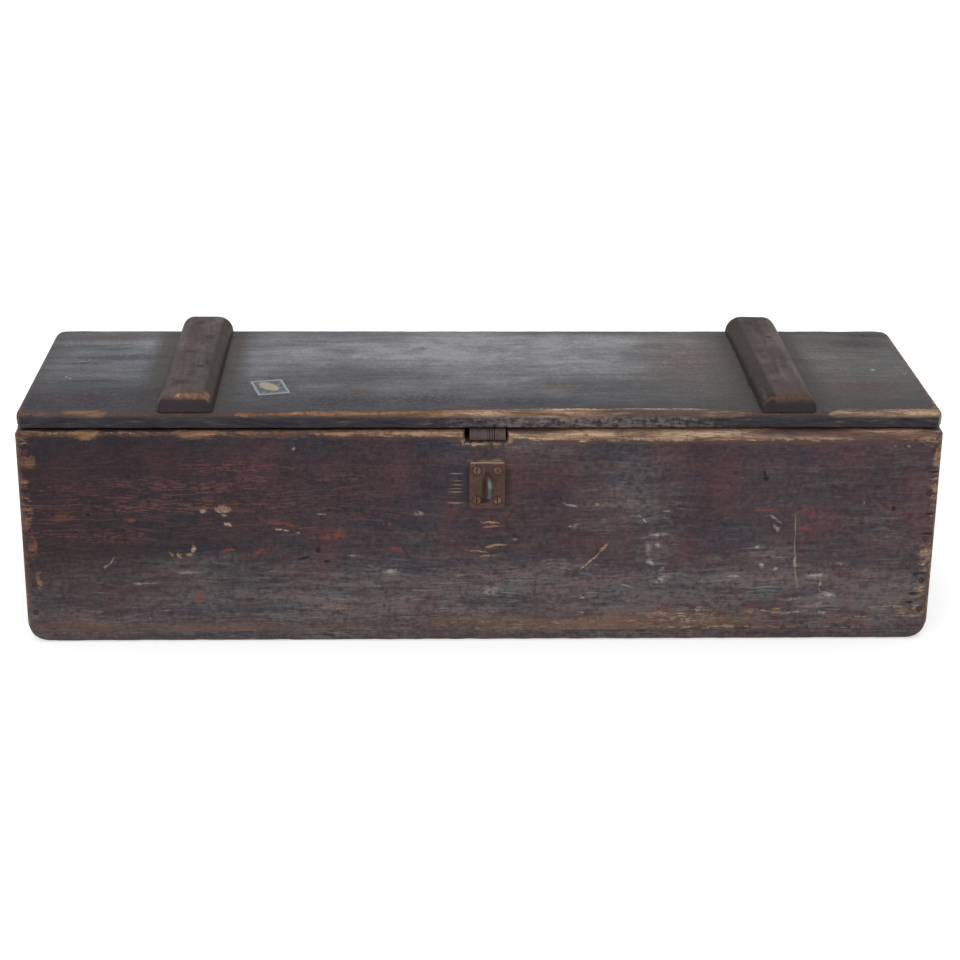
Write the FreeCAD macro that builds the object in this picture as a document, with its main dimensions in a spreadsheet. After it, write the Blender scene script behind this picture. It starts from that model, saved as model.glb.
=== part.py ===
import FreeCAD, Part
import os
import re
import Sketcher
from FreeCAD import Placement, Rotation, Vector

# A long wooden tool box with a hinged plank lid: six nailed boards, two battens across the
# lid, a pair of butt hinges at the back and a hasp and staple at the front.
# The origin is the middle of the box's underside. +X runs along the box, +Y to the hinges.

doc = FreeCAD.newDocument("wooden_tool_box")

# Driving dimensions in millimetres

SIZES = (
    ("box_length", 934, "over the end boards"),
    ("box_depth", 284, "front face to back face"),
    ("closed_height", 250.5, "floor to the top of the closed lid"),
    ("board_thickness", 20, "front, back and end boards"),
    ("bottom_thickness", 12, "bottom board"),
    ("end_corner_round", 22, "worn round of the lower end arrises"),
    ("arris_round", 4, "outer arrises of the box"),
    ("top_arris_round", 3, "upper outer arris of the end and back boards"),
    ("front_top_round", 5, "worn upper arris of the front board"),
    ("front_gap", 2.2, "between the front board and the lid"),
    ("lid_gap", 0.3, "between the end and back boards and the lid"),
    ("lid_end_setback", 2, "lid plank short of the box at each end"),
    ("lid_thickness", 17, "lid plank"),
    ("lid_corner_round", 10, "corners of the lid seen from above"),
    ("lid_top_round", 4.5, "upper arrises of the lid"),
    ("lid_under_round", 3, "lower arrises of the lid"),
    ("left_batten_setback", 170, "left end of the box to the middle of its batten"),
    ("right_batten_setback", 158, "right end of the box to the middle of its batten"),
    ("batten_base_width", 57, "batten where it meets the lid"),
    ("batten_top_width", 51, "batten at its top"),
    ("batten_height", 17.5, "batten above the lid"),
    ("batten_inset", 1, "front end of a batten behind the lid's front edge"),
    ("batten_top_round", 5, "upper arrises of a batten"),
    ("batten_corner_round", 6, "standing arrises of a batten"),
    ("nail_head_diameter", 6.4, "all nails"),
    ("nail_head_thickness", 1.2, "all nails"),
    ("nail_shank_diameter", 3.2, "all nails"),
    ("nail_point_length", 5, "all nails"),
    ("nail_tip_diameter", 0.6, "all nails"),
    ("corner_nail_length", 50, "front or back board into an end board"),
    ("bottom_nail_length", 38, "bottom board into a wall"),
    ("bottom_nail_recess", 1.6, "head above the underside"),
    ("end_nail_setback", 4, "line of nails from the inner face of an end board"),
    ("batten_nail_length", 30, "batten into the lid"),
    ("batten_nail_stagger", 8, "nails to either side of a batten's middle line"),
    ("screw_head_diameter", 8, "staple and hasp screws"),
    ("screw_head_depth", 2.6, "countersunk part"),
    ("screw_shank_diameter", 4, "staple and hasp screws"),
    ("screw_slot_width", 1.1, "slot across a screw head"),
    ("screw_slot_depth", 1, "slot across a screw head"),
    ("screw_point_length", 4, "all screws"),
    ("screw_tip_diameter", 0.8, "all screws"),
    ("staple_screw_length", 18, "through the staple plate"),
    ("hasp_screw_length", 12, "through the hasp's lid leaf"),
    ("hinge_screw_head", 7, "hinge screws"),
    ("hinge_screw_shank", 3.4, "hinge screws"),
    ("hinge_box_screw_length", 20, "into the back board"),
    ("hinge_lid_screw_length", 12, "into the lid"),
    ("staple_reach", 5.6, "middle of the box to the middle of the staple plate"),
    ("staple_drop", 57.6, "front board's top to the middle of the staple plate"),
    ("staple_plate_width", 36, "staple plate"),
    ("staple_plate_height", 50, "staple plate"),
    ("staple_plate_thickness", 2, "staple plate"),
    ("staple_plate_round", 3, "corners of the staple plate"),
    ("staple_screw_inset", 7.5, "screw to the side edge of the staple plate"),
    ("staple_screw_drop", 9, "screw to the upper or lower edge of the staple plate"),
    ("staple_loop_radius", 11, "bend of the staple loop, at the middle of its wire"),
    ("staple_wire_diameter", 5, "staple loop"),
    ("staple_leg_length", 3, "straight leg in front of the plate"),
    ("staple_leg_seat", 1.3, "leg set into the plate"),
    ("hasp_reach", 5.4, "middle of the box to the middle of the hasp"),
    ("hasp_width", 36, "hasp barrel and lid leaf"),
    ("hasp_barrel_diameter", 12, "outside of the knuckles"),
    ("hasp_pin_diameter", 4, "hasp pin"),
    ("hasp_pin_clearance", 0.1, "round the pin in the strap's knuckle"),
    ("hasp_leaf_thickness", 2, "hasp lid leaf and strap"),
    ("hasp_barrel_setback", 1.3, "barrel's middle behind the front face"),
    ("hasp_leaf_length", 48, "barrel's middle to the end of the lid leaf"),
    ("hasp_leaf_clearance", 0.5, "leaf edge to the other leaf's knuckle"),
    ("hasp_knuckle_gap", 0.3, "between neighbouring knuckles"),
    ("strap_knuckle_width", 6.5, "middle knuckle, on the strap"),
    ("strap_knuckle_offset", 3, "middle knuckle right of the barrel's middle"),
    ("strap_width", 30, "hasp strap"),
    ("strap_slot_reach", 54, "barrel's middle to the middle of the slot"),
    ("strap_slot_length", 30, "slot over the staple loop"),
    ("strap_slot_width", 10, "slot over the staple loop"),
    ("notch_reach", 4, "middle of the box to the middle of the notch"),
    ("notch_width", 43, "notch in the front board"),
    ("notch_depth", 11.2, "notch in the front board"),
    ("notch_overrun", 5, "cutting past the board's top"),
    ("hinge_setback", 167, "end of the box to the middle of a hinge"),
    ("hinge_length", 76, "butt hinge"),
    ("hinge_leaf_depth", 18, "leaf on the wood"),
    ("hinge_leaf_thickness", 2, "hinge leaf"),
    ("hinge_barrel_diameter", 8, "outside of the knuckles"),
    ("hinge_barrel_offset", 5, "barrel's middle behind the back face"),
    ("hinge_leaf_clearance", 0.4, "leaf edge to the other leaf's knuckle"),
    ("hinge_knuckle_gap", 0.3, "between neighbouring knuckles"),
    ("hinge_pin_diameter", 3.4, "hinge pin"),
    ("hinge_pin_clearance", 0.1, "round the pin in the lid leaf's knuckles"),
    ("hinge_screw_spacing", 26, "between the screws of a leaf"),
    ("label_width", 34, "paper label"),
    ("label_length", 47, "paper label"),
    ("label_thickness", 0.3, "paper label"),
    ("label_batten_reach", 69.8, "middle of the left batten to the corner of the label"),
    ("label_setback", 54.1, "front of the lid to the corner of the label"),
)

sheet = doc.addObject("Spreadsheet::Sheet", "Sizes")
for row, (alias, size, note) in enumerate(SIZES, 1):
    sheet.set(f"A{row}", alias)
    sheet.set(f"B{row}", str(size))
    sheet.set(f"C{row}", note)
    sheet.setAlias(f"B{row}", alias)

# Places that follow from the driving dimensions

DERIVED = {
    "box_end": "box_length / 2",
    "box_face": "box_depth / 2",
    "end_inside": "box_end - board_thickness",
    "face_inside": "box_face - board_thickness",
    "lid_underside": "closed_height - lid_thickness",
    "wall_top": "lid_underside - lid_gap",
    "front_top": "lid_underside - front_gap",
    "wall_height": "wall_top - bottom_thickness",
    "front_height": "front_top - bottom_thickness",
    "lid_end": "box_end - lid_end_setback",
    "batten_length": "box_depth - batten_inset",
    "left_batten_reach": "box_end - left_batten_setback",
    "right_batten_reach": "box_end - right_batten_setback",
    "hinge_reach": "box_end - hinge_setback",
    "batten_top": "closed_height + batten_height",
    "corner_nail_line": "box_end - board_thickness / 2",
    "bottom_nail_row": "box_face - board_thickness / 2",
    "bottom_nail_end_row": "end_inside + end_nail_setback",
    "staple_front": "box_face + staple_plate_thickness",
    "staple_height": "front_top - staple_drop",
    "staple_leg": "staple_leg_length + staple_leg_seat",
    "hasp_barrel_radius": "hasp_barrel_diameter / 2",
    "hasp_pin_line": "box_face - hasp_barrel_setback",
    "hasp_pin_height": "lid_underside - hasp_barrel_radius",
    "hasp_leaf_start": "hasp_barrel_radius + hasp_leaf_clearance",
    "strap_end_radius": "strap_width / 2",
    "strap_slot_radius": "strap_slot_width / 2",
    "strap_slot_straight": "strap_slot_length - strap_slot_width",
    "strap_knuckle_left": "strap_knuckle_offset - strap_knuckle_width / 2",
    "strap_knuckle_right": "strap_knuckle_offset + strap_knuckle_width / 2",
    "hinge_barrel_radius": "hinge_barrel_diameter / 2",
    "hinge_pin_line": "box_face + hinge_barrel_offset",
    "hinge_pin_height": "wall_top + lid_gap / 2",
    "hinge_leaf_start": "hinge_barrel_radius + hinge_leaf_clearance",
    "hinge_leaf_end": "hinge_barrel_offset + hinge_leaf_depth",
    "hinge_screw_line": "box_face - hinge_leaf_depth / 2",
    "knuckle_length": "(hinge_length - 4 * hinge_knuckle_gap) / 5",
    "knuckle_pitch": "knuckle_length + hinge_knuckle_gap",
}


def formula(text):
    """A formula in the names above, spelled out down to cells of the sheet."""

    def spell(match):
        word = match.group(0)
        if word in DERIVED:
            return "(" + formula(DERIVED[word]) + ")"
        return "Sizes." + word

    return re.sub(r"[a-z][a-z_]+", spell, text)


def bind(thing, **sizes):
    """Bind properties of an object to formulas. A double underscore stands for a dot."""
    for path, text in sizes.items():
        thing.setExpression(path.replace("__", "."), formula(text))
    return thing


def place(thing, x="0", y="0", z="0", turn=Rotation()):
    """Put an object where three formulas say, turned by a fixed rotation."""
    thing.Placement = Placement(Vector(), turn)
    return bind(thing, Placement__Base__x=x, Placement__Base__y=y, Placement__Base__z=z)


TURN_IN = Rotation(Vector(1, 0, 0), -90)
TURN_OUT = Rotation(Vector(1, 0, 0), 90)
TURN_DOWN = Rotation(Vector(1, 0, 0), 180)
TURN_UP = Rotation()
TURN_ALONG = Rotation(Vector(0, 1, 0), 90)
STAPLE_LEAN = Rotation(Vector(0, 0, 1), 10)
LABEL_TURN = Rotation(Vector(0, 0, 1), 14.3)

# Boards as padded sketches

SAME_PLACE = 0.001

SIDES = {
    "left": ("x", min), "right": ("x", max),
    "front": ("y", min), "back": ("y", max),
    "under": ("z", min), "top": ("z", max),
}


def edges_on(feature, sides, not_on=()):
    """Names of a feature's edges that lie on all the given sides, and on none of the others."""
    doc.recompute()
    corners = [vertex.Point for vertex in feature.Shape.Vertexes]

    def lies_on(edge, side):
        axis, furthest = SIDES[side]
        limit = furthest(getattr(corner, axis) for corner in corners)
        return abs(getattr(edge.CenterOfMass, axis) - limit) < SAME_PLACE

    names = []
    for number, edge in enumerate(feature.Shape.Edges, 1):
        wanted = all(lies_on(edge, side) for side in sides)
        unwanted = any(lies_on(edge, side) for side in not_on)
        if wanted and not unwanted:
            names.append(f"Edge{number}")
    return names


def round_edges(body, radius, edge_sets, not_on=()):
    """Round the edges of a body's last feature that lie on any of the given sets of sides."""
    feature = body.Tip
    names = []
    for sides in edge_sets:
        for name in edges_on(feature, sides, not_on):
            if name not in names:
                names.append(name)
    fillet = body.newObject("PartDesign::Fillet", body.Name + "_round")
    fillet.Base = (feature, names)
    bind(fillet, Radius=radius)
    body.Tip = fillet
    return fillet


def sketch_on(body, role):
    """A sketch on one of the body's own origin planes."""
    planes = [item for item in body.Origin.OriginFeatures if item.Role == role]
    sketch = body.newObject("Sketcher::SketchObject", body.Name + "_outline")
    sketch.AttachmentSupport = (planes[0], [""])
    sketch.MapMode = "FlatFace"
    return sketch


def pad(body, sketch, height, backwards=False):
    """Pad a body's sketch to a formula's height."""
    feature = body.newObject("PartDesign::Pad", body.Name + "_pad")
    feature.Profile = sketch
    feature.Reversed = backwards
    bind(feature, Length=height)
    sketch.Visibility = False
    body.Tip = feature
    return feature


def board(name, length, depth, height, x, y, z):
    """A sawn board whose left, front, lower corner is at x, y, z."""
    body = doc.addObject("PartDesign::Body", name)
    sketch = sketch_on(body, "XY_Plane")
    corners = (Vector(0, 0), Vector(1, 0), Vector(1, 1), Vector(0, 1))
    for number, corner in enumerate(corners):
        sketch.addGeometry(Part.LineSegment(corner, corners[(number + 1) % 4]))
    for number in range(4):
        sketch.addConstraint(Sketcher.Constraint("Coincident", number, 2, (number + 1) % 4, 1))
    for number in (0, 2):
        sketch.addConstraint(Sketcher.Constraint("Horizontal", number))
    for number in (1, 3):
        sketch.addConstraint(Sketcher.Constraint("Vertical", number))
    sketch.addConstraint(Sketcher.Constraint("Coincident", 0, 1, -1, 1))
    along = sketch.addConstraint(Sketcher.Constraint("DistanceX", 0, 1, 0, 2, 1))
    across = sketch.addConstraint(Sketcher.Constraint("DistanceY", 1, 1, 1, 2, 1))
    sketch.renameConstraint(along, "along")
    sketch.renameConstraint(across, "across")
    bind(sketch, Constraints__along=length, Constraints__across=depth)
    pad(body, sketch, height)
    return place(body, x, y, z)


# Plain solids of the Part workbench

def block(name, x, y, z):
    """A box between two faces on each axis. Each face is a formula."""
    solid = doc.addObject("Part::Box", name)
    place(solid, x[0], y[0], z[0])
    return bind(
        solid,
        Length=f"({x[1]}) - ({x[0]})",
        Width=f"({y[1]}) - ({y[0]})",
        Height=f"({z[1]}) - ({z[0]})",
    )


def rod(name, radius, height, x="0", y="0", z="0", turn=TURN_UP):
    """A round rod that starts at x, y, z and runs along the turned Z axis."""
    solid = doc.addObject("Part::Cylinder", name)
    place(solid, x, y, z, turn)
    return bind(solid, Radius=radius, Height=height)


def cone(name, first_radius, last_radius, height, z="0"):
    """A cone frustum along Z."""
    solid = doc.addObject("Part::Cone", name)
    place(solid, z=z)
    return bind(solid, Radius1=first_radius, Radius2=last_radius, Height=height)


def fuse(name, *solids):
    """One solid out of several that touch."""
    joined = doc.addObject("Part::MultiFuse", name)
    joined.Shapes = list(solids)
    joined.Refine = True
    return joined


def cut(name, base, *tools):
    """A solid less one or more tools."""
    tool = tools[0]
    if len(tools) > 1:
        tool = doc.addObject("Part::Compound", name + "_tools")
        tool.Links = list(tools)
    left = doc.addObject("Part::Cut", name)
    left.Base = base
    left.Tool = tool
    return left


def shape_by(name, base, form):
    """The part of a solid that lies inside a form."""
    kept = doc.addObject("Part::Common", name)
    kept.Base = base
    kept.Tool = form
    return kept


# Fasteners: one master of each size, whose head is at the origin and whose point is at +Z

def nail(name, length):
    """A wire nail with a flat head, a round shank and a point."""
    shank_radius = "nail_shank_diameter / 2"
    return fuse(
        name,
        rod(name + "_head", "nail_head_diameter / 2", "nail_head_thickness"),
        rod(name + "_shank", shank_radius, f"{length} - nail_point_length"),
        cone(name + "_point", shank_radius, "nail_tip_diameter / 2", "nail_point_length",
             z=f"{length} - nail_point_length"),
    )


def screw(name, head, shank, length):
    """A countersunk wood screw with a slot that runs along Y."""
    solid = fuse(
        name + "_turned",
        cone(name + "_head", f"{head} / 2", f"{shank} / 2", "screw_head_depth"),
        rod(name + "_shank", f"{shank} / 2", f"{length} - screw_point_length"),
        cone(name + "_point", f"{shank} / 2", "screw_tip_diameter / 2", "screw_point_length",
             z=f"{length} - screw_point_length"),
    )
    slot = block(
        name + "_slot",
        ("-screw_slot_width / 2", "screw_slot_width / 2"),
        (f"-{head} / 2", f"{head} / 2"),
        ("-screw_slot_depth", "screw_slot_depth"),
    )
    return cut(name, solid, slot)


def set_of(name, master, places):
    """Copies of one fastener as separate solids: each place is x, y, z and a turn."""
    copies = []
    for number, (x, y, z, turn) in enumerate(places, 1):
        copy = doc.addObject("App::Link", f"{name}_{number}")
        copy.LinkedObject = master
        copies.append(place(copy, x, y, z, turn))
    group = doc.addObject("Part::Compound", name)
    group.Links = copies
    return group


corner_nail = nail("corner_nail", "corner_nail_length")
bottom_nail = nail("bottom_nail", "bottom_nail_length")
batten_nail = nail("batten_nail", "batten_nail_length")
staple_screw = screw("staple_screw", "screw_head_diameter", "screw_shank_diameter",
                     "staple_screw_length")
hasp_screw = screw("hasp_screw", "screw_head_diameter", "screw_shank_diameter",
                   "hasp_screw_length")
hinge_box_screw = screw("hinge_box_screw", "hinge_screw_head", "hinge_screw_shank",
                        "hinge_box_screw_length")
hinge_lid_screw = screw("hinge_lid_screw", "hinge_screw_head", "hinge_screw_shank",
                        "hinge_lid_screw_length")

corner_nail_height_shares = (0.1, 0.25, 0.46, 0.69, 0.9)
bottom_nail_row_shares = (-0.86, -0.52, -0.17, 0.17, 0.52, 0.86)
bottom_nail_end_shares = (-0.5, 0.5)
batten_nail_shares = (-0.67, -0.31, 0.05, 0.41, 0.77)
hasp_screw_shares = (0.36, 0.8)


def corner_nails(name, face_side, turn):
    """Nails through a face board into the end grain of both end boards."""
    places = []
    for end_side in (-1, 1):
        for share in corner_nail_height_shares:
            places.append((f"{end_side} * corner_nail_line", f"{face_side} * box_face",
                           f"bottom_thickness + {share} * front_height", turn))
    return set_of(name, corner_nail, places)


def bottom_nail_spots():
    """Where the bottom nails stand: under the face boards, then under the end boards."""
    spots = []
    for side in (-1, 1):
        for share in bottom_nail_row_shares:
            spots.append((f"{share} * box_end", f"{side} * bottom_nail_row"))
        for share in bottom_nail_end_shares:
            spots.append((f"{side} * bottom_nail_end_row", f"{share} * box_face"))
    return spots


def bottom_nails(name):
    """Nails through the bottom board into the four walls, their heads sunk a little."""
    places = [(x, y, "bottom_nail_recess", TURN_UP) for x, y in bottom_nail_spots()]
    return set_of(name, bottom_nail, places)


def bottom_nail_wells(name):
    """The wells that the sunk heads leave below them."""
    wells = []
    for x, y in bottom_nail_spots():
        wells.append(rod(f"{name}_{len(wells)}", "nail_head_diameter / 2", "bottom_nail_recess", x, y))
    group = doc.addObject("Part::Compound", name)
    group.Links = wells
    return group


def batten_nails(name):
    """Nails through both battens into the lid, in a zigzag."""
    places = []
    for middle in ("-left_batten_reach", "right_batten_reach"):
        for number, share in enumerate(batten_nail_shares):
            side = (-1) ** (number + 1)
            places.append((f"{middle} + {side} * batten_nail_stagger", f"{share} * box_face",
                           "batten_top", TURN_DOWN))
    return set_of(name, batten_nail, places)


def staple_plate_screws(name):
    """Four screws through the corners of the staple plate."""
    places = []
    for side in (-1, 1):
        for level in (-1, 1):
            places.append((
                f"staple_reach + {side} * (staple_plate_width / 2 - staple_screw_inset)",
                "-staple_front",
                f"staple_height + {level} * (staple_plate_height / 2 - staple_screw_drop)",
                TURN_IN,
            ))
    return set_of(name, staple_screw, places)


def hasp_lid_screws(name):
    """Four screws through the hasp's fixed leaf, up into the lid."""
    places = []
    for side in (-1, 1):
        for share in hasp_screw_shares:
            places.append((
                f"hasp_reach + {side} * hasp_width / 4",
                f"-hasp_pin_line + {share} * hasp_leaf_length",
                "lid_underside - hasp_leaf_thickness",
                TURN_UP,
            ))
    return set_of(name, hasp_screw, places)


def hinge_screws(name, master, height, turn):
    """Three screws through one leaf of each hinge."""
    places = []
    for hinge_side in (-1, 1):
        for number in (-1, 0, 1):
            places.append((
                f"{hinge_side} * hinge_reach + {number} * hinge_screw_spacing",
                "hinge_screw_line",
                height,
                turn,
            ))
    return set_of(name, master, places)


front_corner_nails = corner_nails("front_corner_nails", -1, TURN_IN)
back_corner_nails = corner_nails("back_corner_nails", 1, TURN_OUT)
underside_nails = bottom_nails("bottom_nails")
underside_wells = bottom_nail_wells("bottom_nail_wells")
lid_batten_nails = batten_nails("batten_nails")
staple_screws = staple_plate_screws("staple_screws")
hasp_screws = hasp_lid_screws("hasp_screws")
hinge_box_screws = hinge_screws("hinge_box_screws", hinge_box_screw, "wall_top", TURN_DOWN)
hinge_lid_screws = hinge_screws("hinge_lid_screws", hinge_lid_screw, "lid_underside", TURN_UP)


# Butt hinges, closed: the box leaf lies under the pin's level and the lid leaf above it

def hinge_leaf(name, side, above, knuckles, bore):
    """One leaf of a butt hinge, with the knuckles that it carries."""
    middle = f"{side} * hinge_reach"
    if above:
        levels = ("lid_underside", "lid_underside + hinge_leaf_thickness")
    else:
        levels = ("wall_top - hinge_leaf_thickness", "wall_top")
    start = "hinge_pin_line - hinge_leaf_end"
    edge = "hinge_pin_line - hinge_leaf_start"
    plate = block(name + "_plate", (f"{middle} - hinge_length / 2", f"{middle} + hinge_length / 2"),
                  (start, edge), levels)
    solids = [plate]
    bores = []
    for number in knuckles:
        left = f"{middle} - hinge_length / 2 + {number} * knuckle_pitch"
        right = f"{left} + knuckle_length"
        solids.append(block(f"{name}_tongue_{number}", (left, right), (edge, "hinge_pin_line"), levels))
        solids.append(rod(f"{name}_knuckle_{number}", "hinge_barrel_radius", "knuckle_length",
                          left, "hinge_pin_line", "hinge_pin_height", TURN_ALONG))
        bores.append(rod(f"{name}_bore_{number}", bore, "knuckle_length",
                         left, "hinge_pin_line", "hinge_pin_height", TURN_ALONG))
    return plate, cut(name + "_bored", fuse(name + "_fused", *solids), *bores)


def hinge(word, side):
    """A butt hinge: the mortise plate and the leaf for the box and for the lid, and the pin."""
    box_plate, box_leaf = hinge_leaf(f"{word}_hinge_box", side, False, (0, 2, 4), "hinge_pin_diameter / 2")
    lid_plate, lid_leaf = hinge_leaf(f"{word}_hinge_lid", side, True, (1, 3),
                                     "hinge_pin_diameter / 2 + hinge_pin_clearance")
    pin = rod(f"{word}_hinge_pin", "hinge_pin_diameter / 2", "hinge_length",
              f"{side} * hinge_reach - hinge_length / 2", "hinge_pin_line", "hinge_pin_height", TURN_ALONG)
    return {
        "box_plate": box_plate,
        "lid_plate": lid_plate,
        "box_leaf": cut(f"{word}_hinge_box_leaf", box_leaf, hinge_box_screws),
        "lid_leaf": cut(f"{word}_hinge_lid_leaf", lid_leaf, hinge_lid_screws),
        "pin": pin,
    }


left_hinge = hinge("left", -1)
right_hinge = hinge("right", 1)


# Hasp, with its strap folded in under the lid

def hasp_knuckle(name, left, right, levels):
    """One knuckle of the hasp's barrel with the tongue that ties it to its leaf."""
    start = f"hasp_reach + {left}"
    width = f"({right}) - ({left})"
    ring = rod(name + "_ring", "hasp_barrel_radius", width, start, "-hasp_pin_line", "hasp_pin_height",
               TURN_ALONG)
    tongue = block(name + "_tongue", (start, f"hasp_reach + {right}"),
                   ("-hasp_pin_line", "-hasp_pin_line + hasp_leaf_start"), levels)
    return [ring, tongue]


def hasp_bore(name, radius):
    """The pin's hole through the whole barrel."""
    return rod(name, radius, "hasp_width", "hasp_reach - hasp_width / 2",
               "-hasp_pin_line", "hasp_pin_height", TURN_ALONG)


def make_hasp_lid_leaf():
    """The fixed leaf, screwed under the lid, with the two outer knuckles."""
    levels = ("lid_underside - hasp_leaf_thickness", "lid_underside")
    plate = block("hasp_leaf_plate", ("hasp_reach - hasp_width / 2", "hasp_reach + hasp_width / 2"),
                  ("-hasp_pin_line + hasp_leaf_start", "-hasp_pin_line + hasp_leaf_length"), levels)
    solids = [plate]
    solids += hasp_knuckle("hasp_left", "-hasp_width / 2", "strap_knuckle_left - hasp_knuckle_gap", levels)
    solids += hasp_knuckle("hasp_right", "strap_knuckle_right + hasp_knuckle_gap", "hasp_width / 2", levels)
    return cut("hasp_lid_leaf", fuse("hasp_leaf_fused", *solids),
               hasp_bore("hasp_leaf_bore", "hasp_pin_diameter / 2"), hasp_screws)


def make_hasp_strap():
    """The swinging strap: a middle knuckle, a round end and a slot for the staple loop."""
    under = "hasp_pin_height - hasp_barrel_radius"
    levels = (under, f"{under} + hasp_leaf_thickness")
    slot_middle = "-hasp_pin_line + strap_slot_reach"
    slot_near = f"{slot_middle} - strap_slot_straight / 2"
    slot_far = f"{slot_middle} + strap_slot_straight / 2"
    solids = hasp_knuckle("strap", "strap_knuckle_left", "strap_knuckle_right", levels)
    solids.append(block("strap_plate", ("hasp_reach - strap_end_radius", "hasp_reach + strap_end_radius"),
                        ("-hasp_pin_line + hasp_leaf_start", slot_far), levels))
    solids.append(rod("strap_end", "strap_end_radius", "hasp_leaf_thickness", "hasp_reach", slot_far,
                      under))
    slot = [
        block("strap_slot", ("hasp_reach - strap_slot_radius", "hasp_reach + strap_slot_radius"),
              (slot_near, slot_far), levels),
        rod("strap_slot_near", "strap_slot_radius", "hasp_leaf_thickness", "hasp_reach", slot_near, under),
        rod("strap_slot_far", "strap_slot_radius", "hasp_leaf_thickness", "hasp_reach", slot_far, under),
    ]
    return cut("hasp_strap", fuse("strap_fused", *solids), *slot,
               hasp_bore("strap_bore", "hasp_pin_diameter / 2 + hasp_pin_clearance"))


hasp_lid_leaf = make_hasp_lid_leaf()
hasp_strap = make_hasp_strap()
hasp_pin = hasp_bore("hasp_pin", "hasp_pin_diameter / 2")


# Staple: a bent wire loop riveted in a plate

def make_staple_loop():
    """Two legs and a half ring that stands out from the plate, knocked a little askew."""
    wire = "staple_wire_diameter / 2"
    around = "(staple_loop_radius + staple_wire_diameter)"
    ring = doc.addObject("Part::Torus", "staple_ring")
    place(ring, y="-staple_leg_length", turn=TURN_ALONG)
    bind(ring, Radius1="staple_loop_radius", Radius2=wire)
    front_half = block("staple_front_half", ("-staple_wire_diameter", "staple_wire_diameter"),
                       (f"-staple_leg_length - {around}", "-staple_leg_length"), (f"-{around}", around))
    legs = []
    for level in (-1, 1):
        legs.append(rod(f"staple_leg_{len(legs)}", wire, "staple_leg", y="-staple_leg_length",
                        z=f"{level} * staple_loop_radius", turn=TURN_IN))
    loop = fuse("staple_loop", shape_by("staple_bend", ring, front_half), *legs)
    return place(loop, "staple_reach", "-staple_front", "staple_height", STAPLE_LEAN)


def make_staple_plate():
    """The plate on the front board, its corners rounded."""
    plate = board("staple_plate_blank", "staple_plate_width", "staple_plate_thickness",
                  "staple_plate_height", "staple_reach - staple_plate_width / 2", "-staple_front",
                  "staple_height - staple_plate_height / 2")
    round_edges(plate, "staple_plate_round",
                [(side, level) for side in ("left", "right") for level in ("top", "under")])
    return plate


staple_loop = make_staple_loop()
staple_plate = cut("staple_plate", make_staple_plate(), staple_loop, staple_screws)


# Box: every board is cut to one outside form, whose arrises are worn round

def make_box_form():
    """The outside of the box, with its lower end arrises well rounded."""
    form = board("box_form", "box_length", "box_depth", "closed_height", "-box_end", "-box_face", "0")
    round_edges(form, "end_corner_round", [("left", "under"), ("right", "under")])
    round_edges(form, "arris_round", [("front",), ("back",)])
    return form


box_form = make_box_form()


def box_board(name, blank, *tools):
    """A board of the box, shaped to the outside form and cut for what goes through it."""
    return cut(name, shape_by(name + "_shaped", blank, box_form), *tools)


def make_front_board():
    """The front board, lower than the ends, with the notch for the hasp."""
    blank = board("front_blank", "box_length", "board_thickness", "front_height",
                  "-box_end", "-box_face", "bottom_thickness")
    round_edges(blank, "front_top_round", [("front", "top")])
    notch = block("hasp_notch", ("notch_reach - notch_width / 2", "notch_reach + notch_width / 2"),
                  ("-box_face", "-face_inside"), ("front_top - notch_depth", "front_top + notch_overrun"))
    return box_board("front_board", blank, notch, front_corner_nails, underside_nails, staple_screws)


def make_back_board():
    """The back board, with mortises for the hinge leaves in its top edge."""
    blank = board("back_blank", "box_length", "board_thickness", "wall_height",
                  "-box_end", "face_inside", "bottom_thickness")
    round_edges(blank, "top_arris_round", [("back", "top")])
    return box_board("back_board", blank, back_corner_nails, underside_nails,
                     left_hinge["box_plate"], right_hinge["box_plate"], hinge_box_screws)


def make_end_board(word, side):
    """An end board between the front and back boards."""
    left = {"left": "-box_end", "right": "end_inside"}[word]
    blank = board(f"{word}_end_blank", "board_thickness", "box_depth - 2 * board_thickness", "wall_height",
                  left, "-face_inside", "bottom_thickness")
    round_edges(blank, "top_arris_round", [(side, "top")])
    return box_board(f"{word}_end_board", blank, front_corner_nails, back_corner_nails, underside_nails)


def make_bottom_board():
    """The bottom board, nailed on from below."""
    blank = board("bottom_blank", "box_length", "box_depth", "bottom_thickness",
                  "-box_end", "-box_face", "0")
    return box_board("bottom_board", blank, underside_nails, underside_wells)


front_board = make_front_board()
back_board = make_back_board()
left_end_board = make_end_board("left", "left")
right_end_board = make_end_board("right", "right")
bottom_board = make_bottom_board()


# Lid: a plank with two battens across it

def make_lid_board():
    """The plank, with rounded corners and arrises and mortises for the hinge leaves."""
    blank = board("lid_blank", "2 * lid_end", "box_depth", "lid_thickness",
                  "-lid_end", "-box_face", "lid_underside")
    round_edges(blank, "lid_corner_round",
                [(end, face) for end in ("left", "right") for face in ("front", "back")])
    round_edges(blank, "lid_top_round", [("top",)])
    round_edges(blank, "lid_under_round", [("under",)])
    return cut("lid_board", blank, lid_batten_nails, left_hinge["lid_plate"], right_hinge["lid_plate"],
               hinge_lid_screws, hasp_screws)


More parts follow.
